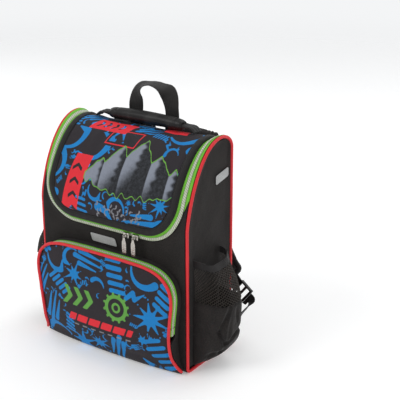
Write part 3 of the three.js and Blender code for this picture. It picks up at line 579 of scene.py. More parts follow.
class Effects:
    """Shader effects that several finishes share, each built once."""

    def __init__(self) -> None:
        """Builds every effect."""
        self.weave = self.build_weave()
        self.mottle = self.build_mottle()
        self.stitches = self.build_stitches()
        self.net = self.build_net()

    @staticmethod
    def group(name: str, inputs: dict[str, str], outputs: dict[str, str]) -> tuple[Graph, dict, dict]:
        """An empty effect with named sockets.

        Args:
            name: Name of the effect.
            inputs: Kind of each input by its name.
            outputs: Kind of each output by its name.

        Returns:
            The graph, the input sockets and the output sockets.
        """
        tree = bpy.data.node_groups.new(name, "ShaderNodeTree")
        for key, kind in inputs.items():
            tree.interface.new_socket(name=key, in_out="INPUT", socket_type=kind)
        for key, kind in outputs.items():
            tree.interface.new_socket(name=key, in_out="OUTPUT", socket_type=kind)
        entry = tree.nodes.new("NodeGroupInput").outputs
        leave = tree.nodes.new("NodeGroupOutput").inputs
        return Graph(tree), {k: entry[k] for k in inputs}, {k: leave[k] for k in outputs}

    def build_weave(self) -> bpy.types.NodeTree:
        """Threads that cross: Height and Shade over a cut in millimetres."""
        inputs = {"Cut": "NodeSocketVector", "Thread": NUMBER, "Slant": NUMBER}
        graph, given, put = self.group("Weave", inputs, {"Height": NUMBER, "Shade": NUMBER})
        x, y = graph.split(given["Cut"])
        slanted = graph.math("ADD", x, graph.math("MULTIPLY", y, given["Slant"]))
        pace = graph.math("DIVIDE", math.pi, given["Thread"])
        warp = graph.math("SINE", graph.math("MULTIPLY", slanted, pace))
        weft = graph.math("SINE", graph.math("MULTIPLY", y, pace))
        height = graph.math("MULTIPLY_ADD", graph.math("MULTIPLY", warp, weft), 0.5, 0.5)
        fuzz = graph.noise(given["Cut"], 2.1, 2.0)
        graph.feed(put["Height"], graph.math("ADD", height, fuzz))
        graph.feed(put["Shade"], graph.math("MULTIPLY_ADD", height, 0.5, graph.math("MULTIPLY", fuzz, 0.5)))
        return graph.tree

    def build_mottle(self) -> bpy.types.NodeTree:
        """Uneven dye, soft creases and a little lint: Shade, Height and Lint."""
        graph, given, put = self.group("Mottle", {"Cut": "NodeSocketVector", "Size": NUMBER},
                                       {"Shade": NUMBER, "Height": NUMBER, "Lint": NUMBER})
        scaled = graph.node("ShaderNodeVectorMath", Vector=given["Cut"])
        scaled.operation = "DIVIDE"
        graph.feed(scaled.inputs[1], given["Size"])
        place = scaled.outputs[0]
        graph.feed(put["Shade"], graph.noise(place, 1.0, 4.0, 0.55))
        ridge = graph.math("ABSOLUTE", graph.math("SUBTRACT", graph.noise(place, 0.6, 3.0, 0.5), 0.5))
        graph.feed(put["Height"], graph.step(ridge, 0.0, 0.22))
        graph.feed(put["Lint"], graph.step(graph.noise(given["Cut"], 0.45, 2.0, 0.8), 0.72, 0.8))
        return graph.tree

    def build_stitches(self) -> bpy.types.NodeTree:
        """A row of stitches: Mask and Dent, from the distance beside the row and the way along it."""
        graph, given, put = self.group("Stitches", {"Beside": NUMBER, "Along": NUMBER, "Pitch": NUMBER},
                                       {"Mask": NUMBER, "Dent": NUMBER})
        beside = graph.math("ABSOLUTE", given["Beside"])
        share = graph.math("FRACT", graph.math("DIVIDE", given["Along"], given["Pitch"]))
        middle = graph.math("ABSOLUTE", graph.math("SUBTRACT", share, 0.5))
        dash = graph.step(middle, 0.38, 0.3)
        thread = graph.step(beside, 0.55, 0.35)
        graph.feed(put["Mask"], graph.math("MULTIPLY", dash, thread))
        graph.feed(put["Dent"], graph.step(beside, 1.6, 0.2))
        return graph.tree

    def build_net(self) -> bpy.types.NodeTree:
        """A knitted mesh with rows of small holes: Hole and Height."""
        graph, given, put = self.group("Knitted mesh", {"Cut": "NodeSocketVector", "Pitch": NUMBER},
                                       {"Hole": NUMBER, "Height": NUMBER})
        x, y = graph.split(given["Cut"])
        pace = graph.math("DIVIDE", 2 * math.pi, given["Pitch"])
        waves = []
        for turn in (0.0, 60.0, 120.0):
            a = math.radians(turn)
            line = graph.math("MULTIPLY", y, math.sin(a))
            line = graph.math("ADD", graph.math("MULTIPLY", x, math.cos(a)), line)
            waves.append(graph.math("COSINE", graph.math("MULTIPLY", line, pace)))
        total = graph.math("ADD", graph.math("ADD", waves[0], waves[1]), waves[2])
        graph.feed(put["Hole"], graph.step(total, 0.2, 1.6))
        graph.feed(put["Height"], graph.math("MULTIPLY", total, -0.3))
        return graph.tree


@dataclass(frozen=True)
class Finish:
    """A material: how it is coloured, how it shines and which small forms its surface has."""

    name: str
    colour: str
    shade: str
    roughness: float = 0.8
    sheen: float = 0.0
    coat: float = 0.0
    metallic: float = 0.0
    bump: float = 0.2
    specular: float = 0.3

    def start(self) -> tuple[Graph, bpy.types.Node, bpy.types.Material]:
        """A new material with its shader and its constant gloss."""
        material = bpy.data.materials.new(self.name)
        material.use_nodes = True
        tree = material.node_tree
        tree.nodes.clear()
        graph = Graph(tree)
        shader = tree.nodes.new("ShaderNodeBsdfPrincipled")
        shader.inputs["Roughness"].default_value = self.roughness
        shader.inputs["Metallic"].default_value = self.metallic
        shader.inputs["Specular IOR Level"].default_value = self.specular
        shader.inputs["Sheen Weight"].default_value = self.sheen
        shader.inputs["Sheen Roughness"].default_value = 0.5
        shader.inputs["Coat Weight"].default_value = self.coat
        out = tree.nodes.new("ShaderNodeOutputMaterial")
        tree.links.new(shader.outputs[0], out.inputs[0])
        return graph, shader, material

    @staticmethod
    def cut(graph: Graph) -> bpy.types.NodeSocket:
        """The place in the piece's own cut, in millimetres."""
        made = graph.tree.nodes.new("ShaderNodeUVMap")
        return made.outputs[0]

    @staticmethod
    def body(graph: Graph) -> bpy.types.NodeSocket:
        """The place in the object, in millimetres."""
        place = graph.tree.nodes.new("ShaderNodeTexCoord")
        mapped = graph.node("ShaderNodeMapping", Vector=place.outputs["Object"])
        mapped.inputs["Scale"].default_value = (1 / MM,) * 3
        return mapped.outputs[0]

    def relief(self, graph: Graph, shader: bpy.types.Node, height: object, distance: float) -> None:
        """Feeds a height in shares of a distance in millimetres to the shader's normal."""
        made = graph.node("ShaderNodeBump", Height=height, Strength=self.bump)
        made.inputs["Distance"].default_value = distance * MM
        graph.feed(shader.inputs["Normal"], made.outputs[0])


@dataclass(frozen=True)
class ClothFinish(Finish):
    """Woven polyester, with uneven dye and a little lint."""

    thread: float = 0.9
    slant: float = 0.0
    size: float = 26.0
    own_cut: bool = True
    slub: float = 1.1

    def build(self, effects: Effects) -> bpy.types.Material:
        """Wires the material."""
        graph, shader, material = self.start()
        cut = self.cut(graph) if self.own_cut else self.body(graph)
        weave = graph.use(effects.weave, Cut=cut, Thread=self.thread, Slant=self.slant)
        mottle = graph.use(effects.mottle, Cut=cut, Size=self.size)
        mixed = graph.blend(0.35, mottle.outputs["Shade"], weave.outputs["Shade"])
        slub = graph.math("SUBTRACT", graph.noise(cut, 0.55, 2.0, 0.8), 0.5)
        mixed = graph.math("MULTIPLY_ADD", slub, self.slub, mixed)
        colour = graph.mix(graph.step(mixed, 0.25, 0.8), tone(self.shade), tone(self.colour))
        colour = graph.mix(graph.math("MULTIPLY", mottle.outputs["Lint"], 0.05), colour, tone("#b9b4ac"))
        graph.feed(shader.inputs["Base Color"], colour)
        rough = graph.blend(mottle.outputs["Shade"], self.roughness - 0.08, self.roughness + 0.08)
        graph.feed(shader.inputs["Roughness"], rough)
        height = graph.math("MULTIPLY_ADD", weave.outputs["Height"], 0.12, mottle.outputs["Height"])
        self.relief(graph, shader, height, 1.2)
        return material


@dataclass(frozen=True)
class BandFinish(Finish):
    """A narrow woven band: ribs along or across it, and up to two rows of stitches."""

    rib: float = 1.6
    lengthwise: bool = False
    rows: tuple[float, ...] = ()
    thread: str = "#141313"
    pitch: float = 3.0

    def build(self, effects: Effects) -> bpy.types.Material:
        """Wires the material."""
        graph, shader, material = self.start()
        cut = self.cut(graph)
        across, along = graph.split(cut)
        way = across if self.lengthwise else along
        rib = graph.math("SINE", graph.math("MULTIPLY", way, 2 * math.pi / self.rib))
        rib = graph.math("MULTIPLY_ADD", rib, 0.5, 0.5)
        weave = graph.use(effects.weave, Cut=cut, Thread=0.7, Slant=1.0)
        mottle = graph.use(effects.mottle, Cut=cut, Size=18.0)
        mixed = graph.blend(0.4, mottle.outputs["Shade"], rib)
        colour = graph.mix(mixed, tone(self.shade), tone(self.colour))
        height = graph.math("MULTIPLY_ADD", weave.outputs["Height"], 0.3, rib)
        for row in self.rows:
            beside = graph.math("SUBTRACT", across, row)
            made = graph.use(effects.stitches, Beside=beside, Along=along, Pitch=self.pitch)
            colour = graph.mix(made.outputs["Mask"], colour, tone(self.thread))
            height = graph.math("SUBTRACT", height, graph.math("MULTIPLY", made.outputs["Dent"], 1.2))
            height = graph.math("MULTIPLY_ADD", made.outputs["Mask"], 1.4, height)
        graph.feed(shader.inputs["Base Color"], colour)
        rough = graph.blend(rib, self.roughness + 0.08, self.roughness - 0.05)
        graph.feed(shader.inputs["Roughness"], rough)
        self.relief(graph, shader, height, 0.5)
        return material


@dataclass(frozen=True)
class CoilFinish(Finish):
    """A zip's coil: pale plastic teeth with the coloured tape seen between them."""

    pitch: float = 3.4
    lean: float = 0.55

    def build(self, effects: Effects) -> bpy.types.Material:
        """Wires the material."""
        graph, shader, material = self.start()
        cut = self.cut(graph)
        across, along = graph.split(cut)
        way = graph.math("MULTIPLY_ADD", across, self.lean, along)
        share = graph.math("FRACT", graph.math("DIVIDE", way, self.pitch))
        tooth = graph.step(graph.math("ABSOLUTE", graph.math("SUBTRACT", share, 0.5)), 0.4, 0.26)
        mottle = graph.use(effects.mottle, Cut=cut, Size=6.0)
        pale = graph.mix(mottle.outputs["Shade"], tone("#a9a99f"), tone(self.colour))
        graph.feed(shader.inputs["Base Color"], graph.mix(tooth, tone(self.shade), pale))
        graph.feed(shader.inputs["Roughness"], graph.blend(tooth, 0.85, self.roughness))
        self.relief(graph, shader, tooth, 0.5)
        return material


@dataclass(frozen=True)
class MetalFinish(Finish):
    """Nickel-plated zinc with soft scratches and cloudy darker patches."""

    def build(self, effects: Effects) -> bpy.types.Material:
        """Wires the material."""
        graph, shader, material = self.start()
        place = self.body(graph)
        cloud = graph.noise(place, 0.35, 4.0, 0.6)
        stretched = graph.node("ShaderNodeMapping", Vector=place)
        stretched.inputs["Scale"].default_value = (3.0, 3.0, 0.35)
        scratch = graph.step(graph.noise(stretched.outputs[0], 1.4, 3.0, 0.7), 0.58, 0.7)
        graph.feed(shader.inputs["Base Color"], graph.mix(cloud, tone(self.shade), tone(self.colour)))
        graph.feed(shader.inputs["Roughness"], graph.blend(scratch, self.roughness, self.roughness + 0.2))
        self.relief(graph, shader, graph.math("ADD", scratch, cloud), 0.05)
        return material


@dataclass(frozen=True)
class MouldedFinish(Finish):
    """Moulded rubber or plastic with a fine grain, paler where it is rubbed."""

    grain: float = 1.2

    def build(self, effects: Effects) -> bpy.types.Material:
        """Wires the material."""
        graph, shader, material = self.start()
        place = self.body(graph)
        grain = graph.noise(place, self.grain, 3.0, 0.6)
        rubbed = graph.step(graph.noise(place, 0.04, 3.0, 0.6), 0.45, 0.7)
        graph.feed(shader.inputs["Base Color"], graph.mix(rubbed, tone(self.shade), tone(self.colour)))
        rough = graph.math("MULTIPLY_ADD", grain, 0.2, self.roughness - 0.1)
        graph.feed(shader.inputs["Roughness"], rough)
        self.relief(graph, shader, grain, 0.15)
        return material


@dataclass(frozen=True)
class NetFinish(Finish):
    """Spacer mesh with rows of small holes, which are painted near-black as painted shade."""

    pitch: float = 3.4
    rib: float = 0.0

    def build(self, effects: Effects) -> bpy.types.Material:
        """Wires the material."""
        graph, shader, material = self.start()
        place = self.body(graph)
        parts = graph.node("ShaderNodeSeparateXYZ", Vector=place)
        flat = graph.node("ShaderNodeCombineXYZ", X=parts.outputs["X"], Y=parts.outputs["Z"])
        net = graph.use(effects.net, Cut=flat.outputs[0], Pitch=self.pitch)
        mottle = graph.use(effects.mottle, Cut=flat.outputs[0], Size=30.0)
        colour = graph.mix(mottle.outputs["Shade"], tone(self.shade), tone(self.colour))
        # Painted shade: the holes are coloured near-black as the shadow seen down into them; the sheet itself
        # stays whole.
        colour = graph.mix(net.outputs["Hole"], colour, tone("#050505"))
        height = graph.math("MULTIPLY_ADD", mottle.outputs["Shade"], 0.5, net.outputs["Height"])
        # Painted shade: with a rib pitch, darker stripes at the pitch of the band's gathers are painted as
        # the shade of its folds.
        if self.rib:
            way = graph.math("MULTIPLY", parts.outputs["X"], 2 * math.pi / self.rib)
            rib = graph.math("MULTIPLY_ADD", graph.math("SINE", way), 0.5, 0.5)
            colour = graph.mix(graph.math("MULTIPLY", rib, 0.6), colour, tone("#060606"))
        graph.feed(shader.inputs["Base Color"], colour)
        rough = graph.blend(net.outputs["Hole"], self.roughness, 0.95)
        graph.feed(shader.inputs["Roughness"], rough)
        self.relief(graph, shader, height, 0.9)
        return material


@dataclass(frozen=True)
class PrintFinish(Finish):
    """Printed cloth: the artwork's inks with ragged edges on a dark woven ground."""

    inks: tuple[tuple[str, str, str], ...] = ()
    rock: bool = False
    size: float = 22.0

    def build(self, effects: Effects) -> bpy.types.Material:
        """Wires the material."""
        graph, shader, material = self.start()
        cut = self.cut(graph)
        weave = graph.use(effects.weave, Cut=cut, Thread=0.8, Slant=0.0)
        mottle = graph.use(effects.mottle, Cut=cut, Size=self.size)
        colour = graph.mix(mottle.outputs["Shade"], tone(self.shade), tone(self.colour))
        ragged = graph.math("SUBTRACT", graph.noise(cut, 0.9, 4.0, 0.75), 0.5)
        worn = graph.step(graph.noise(cut, 0.55, 5.0, 0.8), 0.36, 0.3)
        for name, ink, deep in self.inks:
            edge = graph.math("MULTIPLY_ADD", ragged, 2.2, graph.read(name))
            mask = graph.step(edge, 0.22, -0.22)
            whole = graph.math("SUBTRACT", 1.0, graph.math("MULTIPLY", worn, 0.8))
            mask = graph.math("MULTIPLY", mask, whole)
            dyed = graph.mix(mottle.outputs["Shade"], tone(deep), tone(ink))
            colour = graph.mix(mask, colour, dyed)
        if self.rock:
            colour = self.add_rock(graph, colour, ragged, cut)
        graph.feed(shader.inputs["Base Color"], colour)
        graph.feed(shader.inputs["Roughness"], graph.blend(mottle.outputs["Shade"], 0.62, 0.78))
        height = graph.math("MULTIPLY_ADD", weave.outputs["Height"], 0.12, mottle.outputs["Height"])
        self.relief(graph, shader, height, 1.2)
        return material

    @staticmethod
    def add_rock(graph: Graph, colour: object, ragged: object, cut: object) -> bpy.types.NodeSocket:
        """Lays the grey mountains with their thin outline over the print."""
        far = graph.math("MULTIPLY_ADD", ragged, 1.6, graph.read("rock"))
        light = graph.math("MULTIPLY_ADD", graph.noise(cut, 0.22, 5.0, 0.7), 0.5, graph.read("facet"))
        stone = graph.mix(graph.step(light, 0.25, 1.25), tone("#0b0c0f"), tone("#868c99"))
        colour = graph.mix(graph.step(far, 0.2, -0.2), colour, stone)
        line = graph.step(graph.math("ABSOLUTE", graph.math("SUBTRACT", far, 0.7)), 0.75, 0.4)
        return graph.mix(line, colour, tone("#6aa63f"))


class Wardrobe:
    """Every finish of the bag, built once."""

    def __init__(self) -> None:
        """Builds the shared effects and the materials."""
        effects = Effects()
        inks = (
            ("blue", "#1286cf", "#106fae"), ("red", "#ee2f3a", "#cf2430"),
            ("green", "#69ad4c", "#558f3c"), ("grey", "#8f9096", "#6d6e74"),
        )
        finishes = {
            "cloth": ClothFinish("Black twill", "#282422", "#151211", 0.86, sheen=0.06, bump=0.35, slant=1.0),
            "pocket": ClothFinish("Soft black twill", "#2a2624", "#131010", 0.86, sheen=0.06, bump=0.5,
                                  slant=1.0, size=18.0),
            "strap": ClothFinish("Strap twill", "#302b29", "#231f1e", 0.8, sheen=0.15, bump=0.3,
                                 own_cut=False),
            "binding": BandFinish("Black binding", "#211f1f", "#141313", 0.75, sheen=0.1, bump=0.4,
                                  rib=0.9, lengthwise=True, rows=(3.0,)),
            "edging": BandFinish("Folded edging", "#242121", "#171515", 0.75, sheen=0.1, bump=0.4, rib=0.9,
                                 rows=(2.0,)),
            "webbing": BandFinish("Ribbed webbing", "#1f1d1d", "#0c0b0b", 0.6, sheen=0.1, bump=0.6, rib=2.1),
            "loop": BandFinish("Loop webbing", "#2a2726", "#171615", 0.65, sheen=0.1, bump=0.5, rib=1.4,
                               lengthwise=True),
            "piping": BandFinish("Red piping", "#ea3138", "#c9262e", 0.5, coat=0.08, bump=0.25, rib=1.1),
            "tape": BandFinish("Green zip tape", "#83cf47", "#5fae2e", 0.75, bump=0.4, rib=1.1,
                               lengthwise=True),
            "coil": CoilFinish("Zip coil", "#e2e2da", "#9bb47c", 0.4, bump=0.8),
            "metal": MetalFinish("Nickel", "#d8d4cd", "#8c8780", 0.24, metallic=1.0, bump=0.2),
            "lid": PrintFinish("Printed lid", "#2b262b", "#1f1b20", 0.7, bump=0.3, inks=inks, rock=True),
            "face": PrintFinish("Printed pocket", "#2d272c", "#201b20", 0.7, bump=0.3, inks=inks),
            "air": NetFinish("Air mesh", "#232120", "#141313", 0.85, bump=0.8),
            # Painted shade: rib=5.2 matches the band's gather pitch and paints dark stripes as the shade of
            # the gathers.
            "band": NetFinish("Gathered mesh", "#201e1d", "#121111", 0.85, bump=0.8, rib=5.2),
            "net": MouldedFinish("Black net", "#4c4744", "#38332f", 0.6, bump=0.2),
            "patch": ClothFinish("Reflective cloth", "#b5b6b6", "#9a9b9b", 0.38, coat=0.25, bump=0.25,
                                 thread=1.1),
            "rubber": MouldedFinish("Handle rubber", "#2b2a29", "#161515", 0.42, bump=0.2),
            "plastic": MouldedFinish("Buckle plastic", "#1e1d1d", "#0e0e0e", 0.3, coat=0.2, bump=0.12),
        }
        self.materials = {key: finish.build(effects) for key, finish in finishes.items()}

    def __getitem__(self, key: str) -> bpy.types.Material:
        """A material by its short name."""
        return self.materials[key]


# The bag's pieces


@dataclass
class Shell:
    """The body: front, sides, bottom and back, with piping round both sides."""

    drawing: Drawing
    outline: Outline
    horn_angle: float = 78.0
    horn_rise: float = 20.0
    slack: float = 0.9
    side_rows: int = 110
    side_columns: int = 40
    side_foot: float = 0.965

    def horn_top(self, x: Array) -> Array:
        """Upper edge of the front panel beside the zip, where it runs up to the side."""
        d = self.drawing
        a = math.radians(self.horn_angle)
        reach = d.lid_corner + d.tape_outer
        foot_x = d.lid_half - d.lid_corner + reach * math.sin(a)
        foot_s = self.outline.lid_start + d.lid_corner - reach * math.cos(a)
        return foot_s + self.horn_rise * (x - foot_x) / (d.panel_half - foot_x)

    def front_top(self, x: Array) -> Array:
        """Upper edge of the front panel over its whole width."""
        d = self.drawing
        reach = d.lid_corner + d.tape_outer
        beside = np.maximum(np.abs(x) - (d.lid_half - d.lid_corner), 0)
        arc = self.outline.lid_start + d.lid_corner - np.sqrt(np.maximum(reach**2 - beside**2, 0))
        past = beside > reach * math.sin(math.radians(self.horn_angle))
        return np.where(past, self.horn_top(np.abs(x)), arc)

    def front(self) -> Piece:
        """The front panel, with the soft hollows of cloth that hangs from the zip."""
        d = self.drawing
        waves = Ripples(3, 62)
        x, v = np.meshgrid(np.linspace(-d.panel_half, d.panel_half, 150), np.linspace(0, 1, 120))
        top = self.front_top(x)
        s = d.clearance + v * (top - d.clearance)
        edge = smoothstep(0, 18, d.panel_half - np.abs(x)) * smoothstep(0, 14, top - s)
        out = -0.8 * edge + self.slack * edge * (waves.at(x, s) - 0.4)
        piece = Bench.cloth("front_cloth", self.outline.place(x, s, out), np.stack([x, s], -1))
        Bench.thicken(piece, d.wall - 1.0)
        return piece

    def side(self, sign: int) -> Piece:
        """A side panel inside its piping, slightly slack."""
        d = self.drawing
        o = self.outline
        inset = -(2 * d.piping + 2 * d.clearance)
        share = np.linspace(0.002, self.side_foot, self.side_rows)
        front = o.place(0, o.crown_at * share, inset)
        back = o.place(0, o.back_foot - (o.back_foot - o.crown_at) * share, inset)
        u = np.linspace(0, 1, self.side_columns)
        u = u if sign > 0 else u[::-1]
        points = front[:, None] + (back - front)[:, None] * u[None, :, None]
        chart = points[..., 1:]
        y, z = points[..., 1], points[..., 2]
        beside = smoothstep(0, 0.12, np.minimum(u, 1 - u))
        above = smoothstep(0, 0.05, np.minimum(share, self.side_foot - share))
        edge = beside[None] * above[:, None]
        waves = Ripples(11 + sign, 70)
        points[..., 0] = sign * (d.width / 2 - self.slack * edge * (1.2 + 0.8 * waves.at(y, z)))
        piece = Bench.cloth(f"side_cloth_{side_name(sign)}", points, chart)
        Bench.thicken(piece, d.wall - 1.0)
        return piece

    def wrap(self, name: str, start: float, end: float, rows: int, seed: int) -> Piece:
        """A panel round part of the outline."""
        d = self.drawing
        waves = Ripples(seed, 60)
        x, s = np.meshgrid(np.linspace(-d.panel_half, d.panel_half, 60), np.linspace(start, end, rows))
        edge = smoothstep(0, 10, np.minimum(s - start, end - s)) * smoothstep(0, 10, d.panel_half - np.abs(x))
        out = -0.25 * edge * (1 + waves.at(x, s))
        piece = Bench.cloth(name, self.outline.place(x, s, out), np.stack([x, s], -1))
        Bench.thicken(piece, d.wall - 1.0)
        return piece

    def piping(self, sign: int) -> Piece:
        """The covered cord round a side, a little uneven as a sewn one is."""
        d = self.drawing
        stations = np.linspace(0, self.outline.around, 421)[:-1]
        around = np.linspace(0, 2 * math.pi, 15)[:-1]
        waves = Ripples(21 + sign, 45)
        radius = d.piping * (0.97 + 0.03 * waves.at(stations, 0 * stations))[:, None]
        x = sign * d.width / 2 + radius * np.cos(around)
        out = -d.piping - d.clearance + radius * np.sin(around)
        rings = self.outline.place(x, stations[:, None], out)
        return Bench.loft(f"piping_cord_{side_name(sign)}", rings, closed=True)

    def build(self, wardrobe: Wardrobe) -> None:
        """Builds and dresses the body."""
        o = self.outline
        c = self.drawing.clearance
        Bench.hand_over(self.front(), wardrobe["cloth"], "cloth", ["front_panel"])
        bottom = self.wrap("bottom_cloth", o.back_foot + c, o.around - c, 60, 5)
        Bench.hand_over(bottom, wardrobe["cloth"], "cloth", ["bottom_panel"])
        back = self.wrap("back_cloth", o.lid_stop + c, o.back_foot, 60, 6)
        Bench.hand_over(back, wardrobe["cloth"], "cloth", ["back_panel"])
        for sign in (-1, 1):
            side = side_name(sign)
            Bench.hand_over(self.side(sign), wardrobe["cloth"], "cloth", [f"side_panel_{side}"])
            Bench.hand_over(self.piping(sign), wardrobe["piping"], "piping", [f"piping_{side}"])


def side_name(sign: int) -> str:
    """The side's word in piece names."""
    return "right" if sign > 0 else "left"


class Stroke(Enum):
    """Kinds of brush mark in the artwork."""

    SWOOSH = "a tapered arc"
    BOLT = "a zigzag that runs out to a point"
    SPLASH = "a blot with rays and drops"
    TREAD = "a row of slanted bars"
    DASHES = "three long tapered dashes"
    HOOK = "an arc with a barb"


@dataclass
class Artwork:
    """Generic brush marks: a seeded draw of strokes over a panel, and a few chosen shapes."""

    seed: int
    low: tuple[float, float]
    high: tuple[float, float]
    keep_off: tuple[tuple[float, float, float], ...] = ()
    tries: int = 6000
    sizes: tuple[float, ...] = (30.0, 24.0, 18.0, 12.0, 7.0, 4.5)
    pieces: list = field(default_factory=list)

    def line(self, points: Array, radii: Sequence[float]) -> None:
        """Adds a brush line through points with a radius at each."""
        for a, b, ra, rb in zip(points[:-1], points[1:], radii[:-1], radii[1:]):
            self.pieces.append((*a, *b, ra, rb))

    def mark(self, kind: Stroke, centre: Array, size: float, turn: float, rng: np.random.Generator) -> None:
        """Adds one brush mark.

        Args:
            kind: Which mark.
            centre: Its middle.
            size: Its half length.
            turn: Its direction, in radians.
            rng: The random draw.
        """
        c, s = math.cos(turn), math.sin(turn)
        spin = np.array([[c, -s], [s, c]])
        broad = np.clip(size * rng.uniform(0.13, 0.18), 1.0, 4.4)

        def put(points: Sequence[Sequence[float]], radii: Sequence[float]) -> None:
            self.line(np.array(points, float) * size @ spin.T + centre, [broad * r for r in radii])

        if kind in (Stroke.SWOOSH, Stroke.HOOK):
            sweep = rng.uniform(1.6, 3.6)
            a = np.linspace(-sweep / 2, sweep / 2, 11)
            put(np.stack([0.8 * np.cos(a) - 0.3, 0.8 * np.sin(a)], 1), np.linspace(0.35, 1.3, 11))
            if kind is Stroke.HOOK:
                end = np.array([0.8 * math.cos(sweep / 2) - 0.3, 0.8 * math.sin(sweep / 2)])
                put([end, end + [-0.5, -0.25]], [1.3, 0.3])
        elif kind is Stroke.BOLT:
            put([(-0.25, 0.95), (0.3, 0.2), (-0.3, 0.1), (0.25, -0.95)], [1.1, 1.3, 1.2, 0.15])
        elif kind is Stroke.SPLASH:
            put([(-0.12, 0), (0.12, 0.05)], [1.9, 1.6])
            for a in np.linspace(0, 2 * math.pi, rng.integers(7, 10), endpoint=False) + rng.uniform(0, 1):
                reach = rng.uniform(0.5, 0.95)
                way = np.array([math.cos(a), math.sin(a)])
                put([way * 0.2, way * reach], [0.8, 0.2])
                put([way * (reach + 0.14), way * (reach + 0.16)], [0.28, 0.28])
        elif kind is Stroke.TREAD:
            for k in np.linspace(-0.8, 0.8, 5):
                put([(k - 0.1, -0.38), (k + 0.12, 0.38)], [0.75, 0.75])
        else:
            for k, reach in ((-0.32, 0.75), (0, 1.0), (0.32, 0.6)):
                put([(-reach, k), (reach, k)], [0.25, 0.95])

    def scatter(self) -> None:
        """Fills the panel with marks, large ones first, that hardly touch."""
        rng = np.random.default_rng(self.seed)
        low, high = np.array(self.low), np.array(self.high)
        taken = [np.array(k) for k in self.keep_off]
        kinds = list(Stroke)
        for size in self.sizes:
            for _ in range(self.tries // len(self.sizes)):
                centre = rng.uniform(low, high)
                real = size * rng.uniform(0.85, 1.15)
                near = any(np.hypot(*(centre - t[:2])) < (t[2] + real * 0.68) for t in taken)
                if near:
                    continue
                kind = kinds[int(rng.integers(len(kinds)))] if size > 6 else Stroke.SWOOSH
                self.mark(kind, centre, real, rng.uniform(0, 2 * math.pi), rng)
                taken.append(np.array([*centre, real * 0.72]))

    def distance(self, x: Array, y: Array) -> Array:
        """Distance outside the marks, negative within them, for points of the panel."""
        best = np.full(x.shape, 30.0)
        for ax, ay, bx, by, ra, rb in self.pieces:
            reach = max(ra, rb) + 6
            near = (x > min(ax, bx) - reach) & (x < max(ax, bx) + reach)
            near &= (y > min(ay, by) - reach) & (y < max(ay, by) + reach)
            if not near.any():
                continue
            px, py = x[near] - ax, y[near] - ay
            dx, dy = bx - ax, by - ay
            t = np.clip((px * dx + py * dy) / max(dx * dx + dy * dy, 1e-9), 0, 1)
            far = np.hypot(px - t * dx, py - t * dy) - (ra + t * (rb - ra))
            best[near] = np.minimum(best[near], far)
        return best


def slab(x: Array, y: Array, centre: tuple[float, float], half: tuple[float, float], lean: float) -> Array:
    """Distance outside a slanted block.

    Args:
        x: Places across.
        y: Places along.
        centre: Middle of the block.
        half: Its half width and half height.
        lean: How far it leans over for each millimetre up.

    Returns:
        The distance, negative inside.
    """
    dx = np.abs(x - centre[0] - lean * (y - centre[1])) - half[0]
    dy = np.abs(y - centre[1]) - half[1]
    return np.maximum(dx / math.hypot(1, lean), dy)


def chevrons(x: Array, y: Array, centre: tuple[float, float], half: tuple[float, float], count: int,
             stroke: float, lean: float = 0.0) -> Array:
    """Distance outside a row of chevrons that point along x."""
    best = np.full(x.shape, 30.0)
    for k in range(count):
        tip = centre[0] + half[0] * (2 * (k + 0.5) / count - 1) + lean * (y - centre[1])
        arm = np.abs(x - tip + np.abs(y - centre[1]) * 0.75) * 0.8 - stroke
        best = np.minimum(best, np.maximum(arm, np.abs(y - centre[1]) - half[1]))
    return best


def ring(x: Array, y: Array, centre: tuple[float, float], radius: float, stroke: float, lugs: int) -> Array:
    """Distance outside a cog-like wheel with lugs round it."""
    dx, dy = x - centre[0], y - centre[1]
    far, a = np.hypot(dx, dy), np.arctan2(dy, dx)
    tread = np.abs(far - radius) - stroke
    turn = np.abs((a * lugs / (2 * math.pi)) % 1 - 0.5) * 2 * math.pi / lugs * far
    lug = np.maximum(turn - stroke * 0.75, np.abs(far - radius - stroke * 1.5) - stroke * 0.9)
    hub = np.abs(far - radius * 0.36) - stroke * 0.62
    return np.minimum(np.minimum(tread, lug), hub)


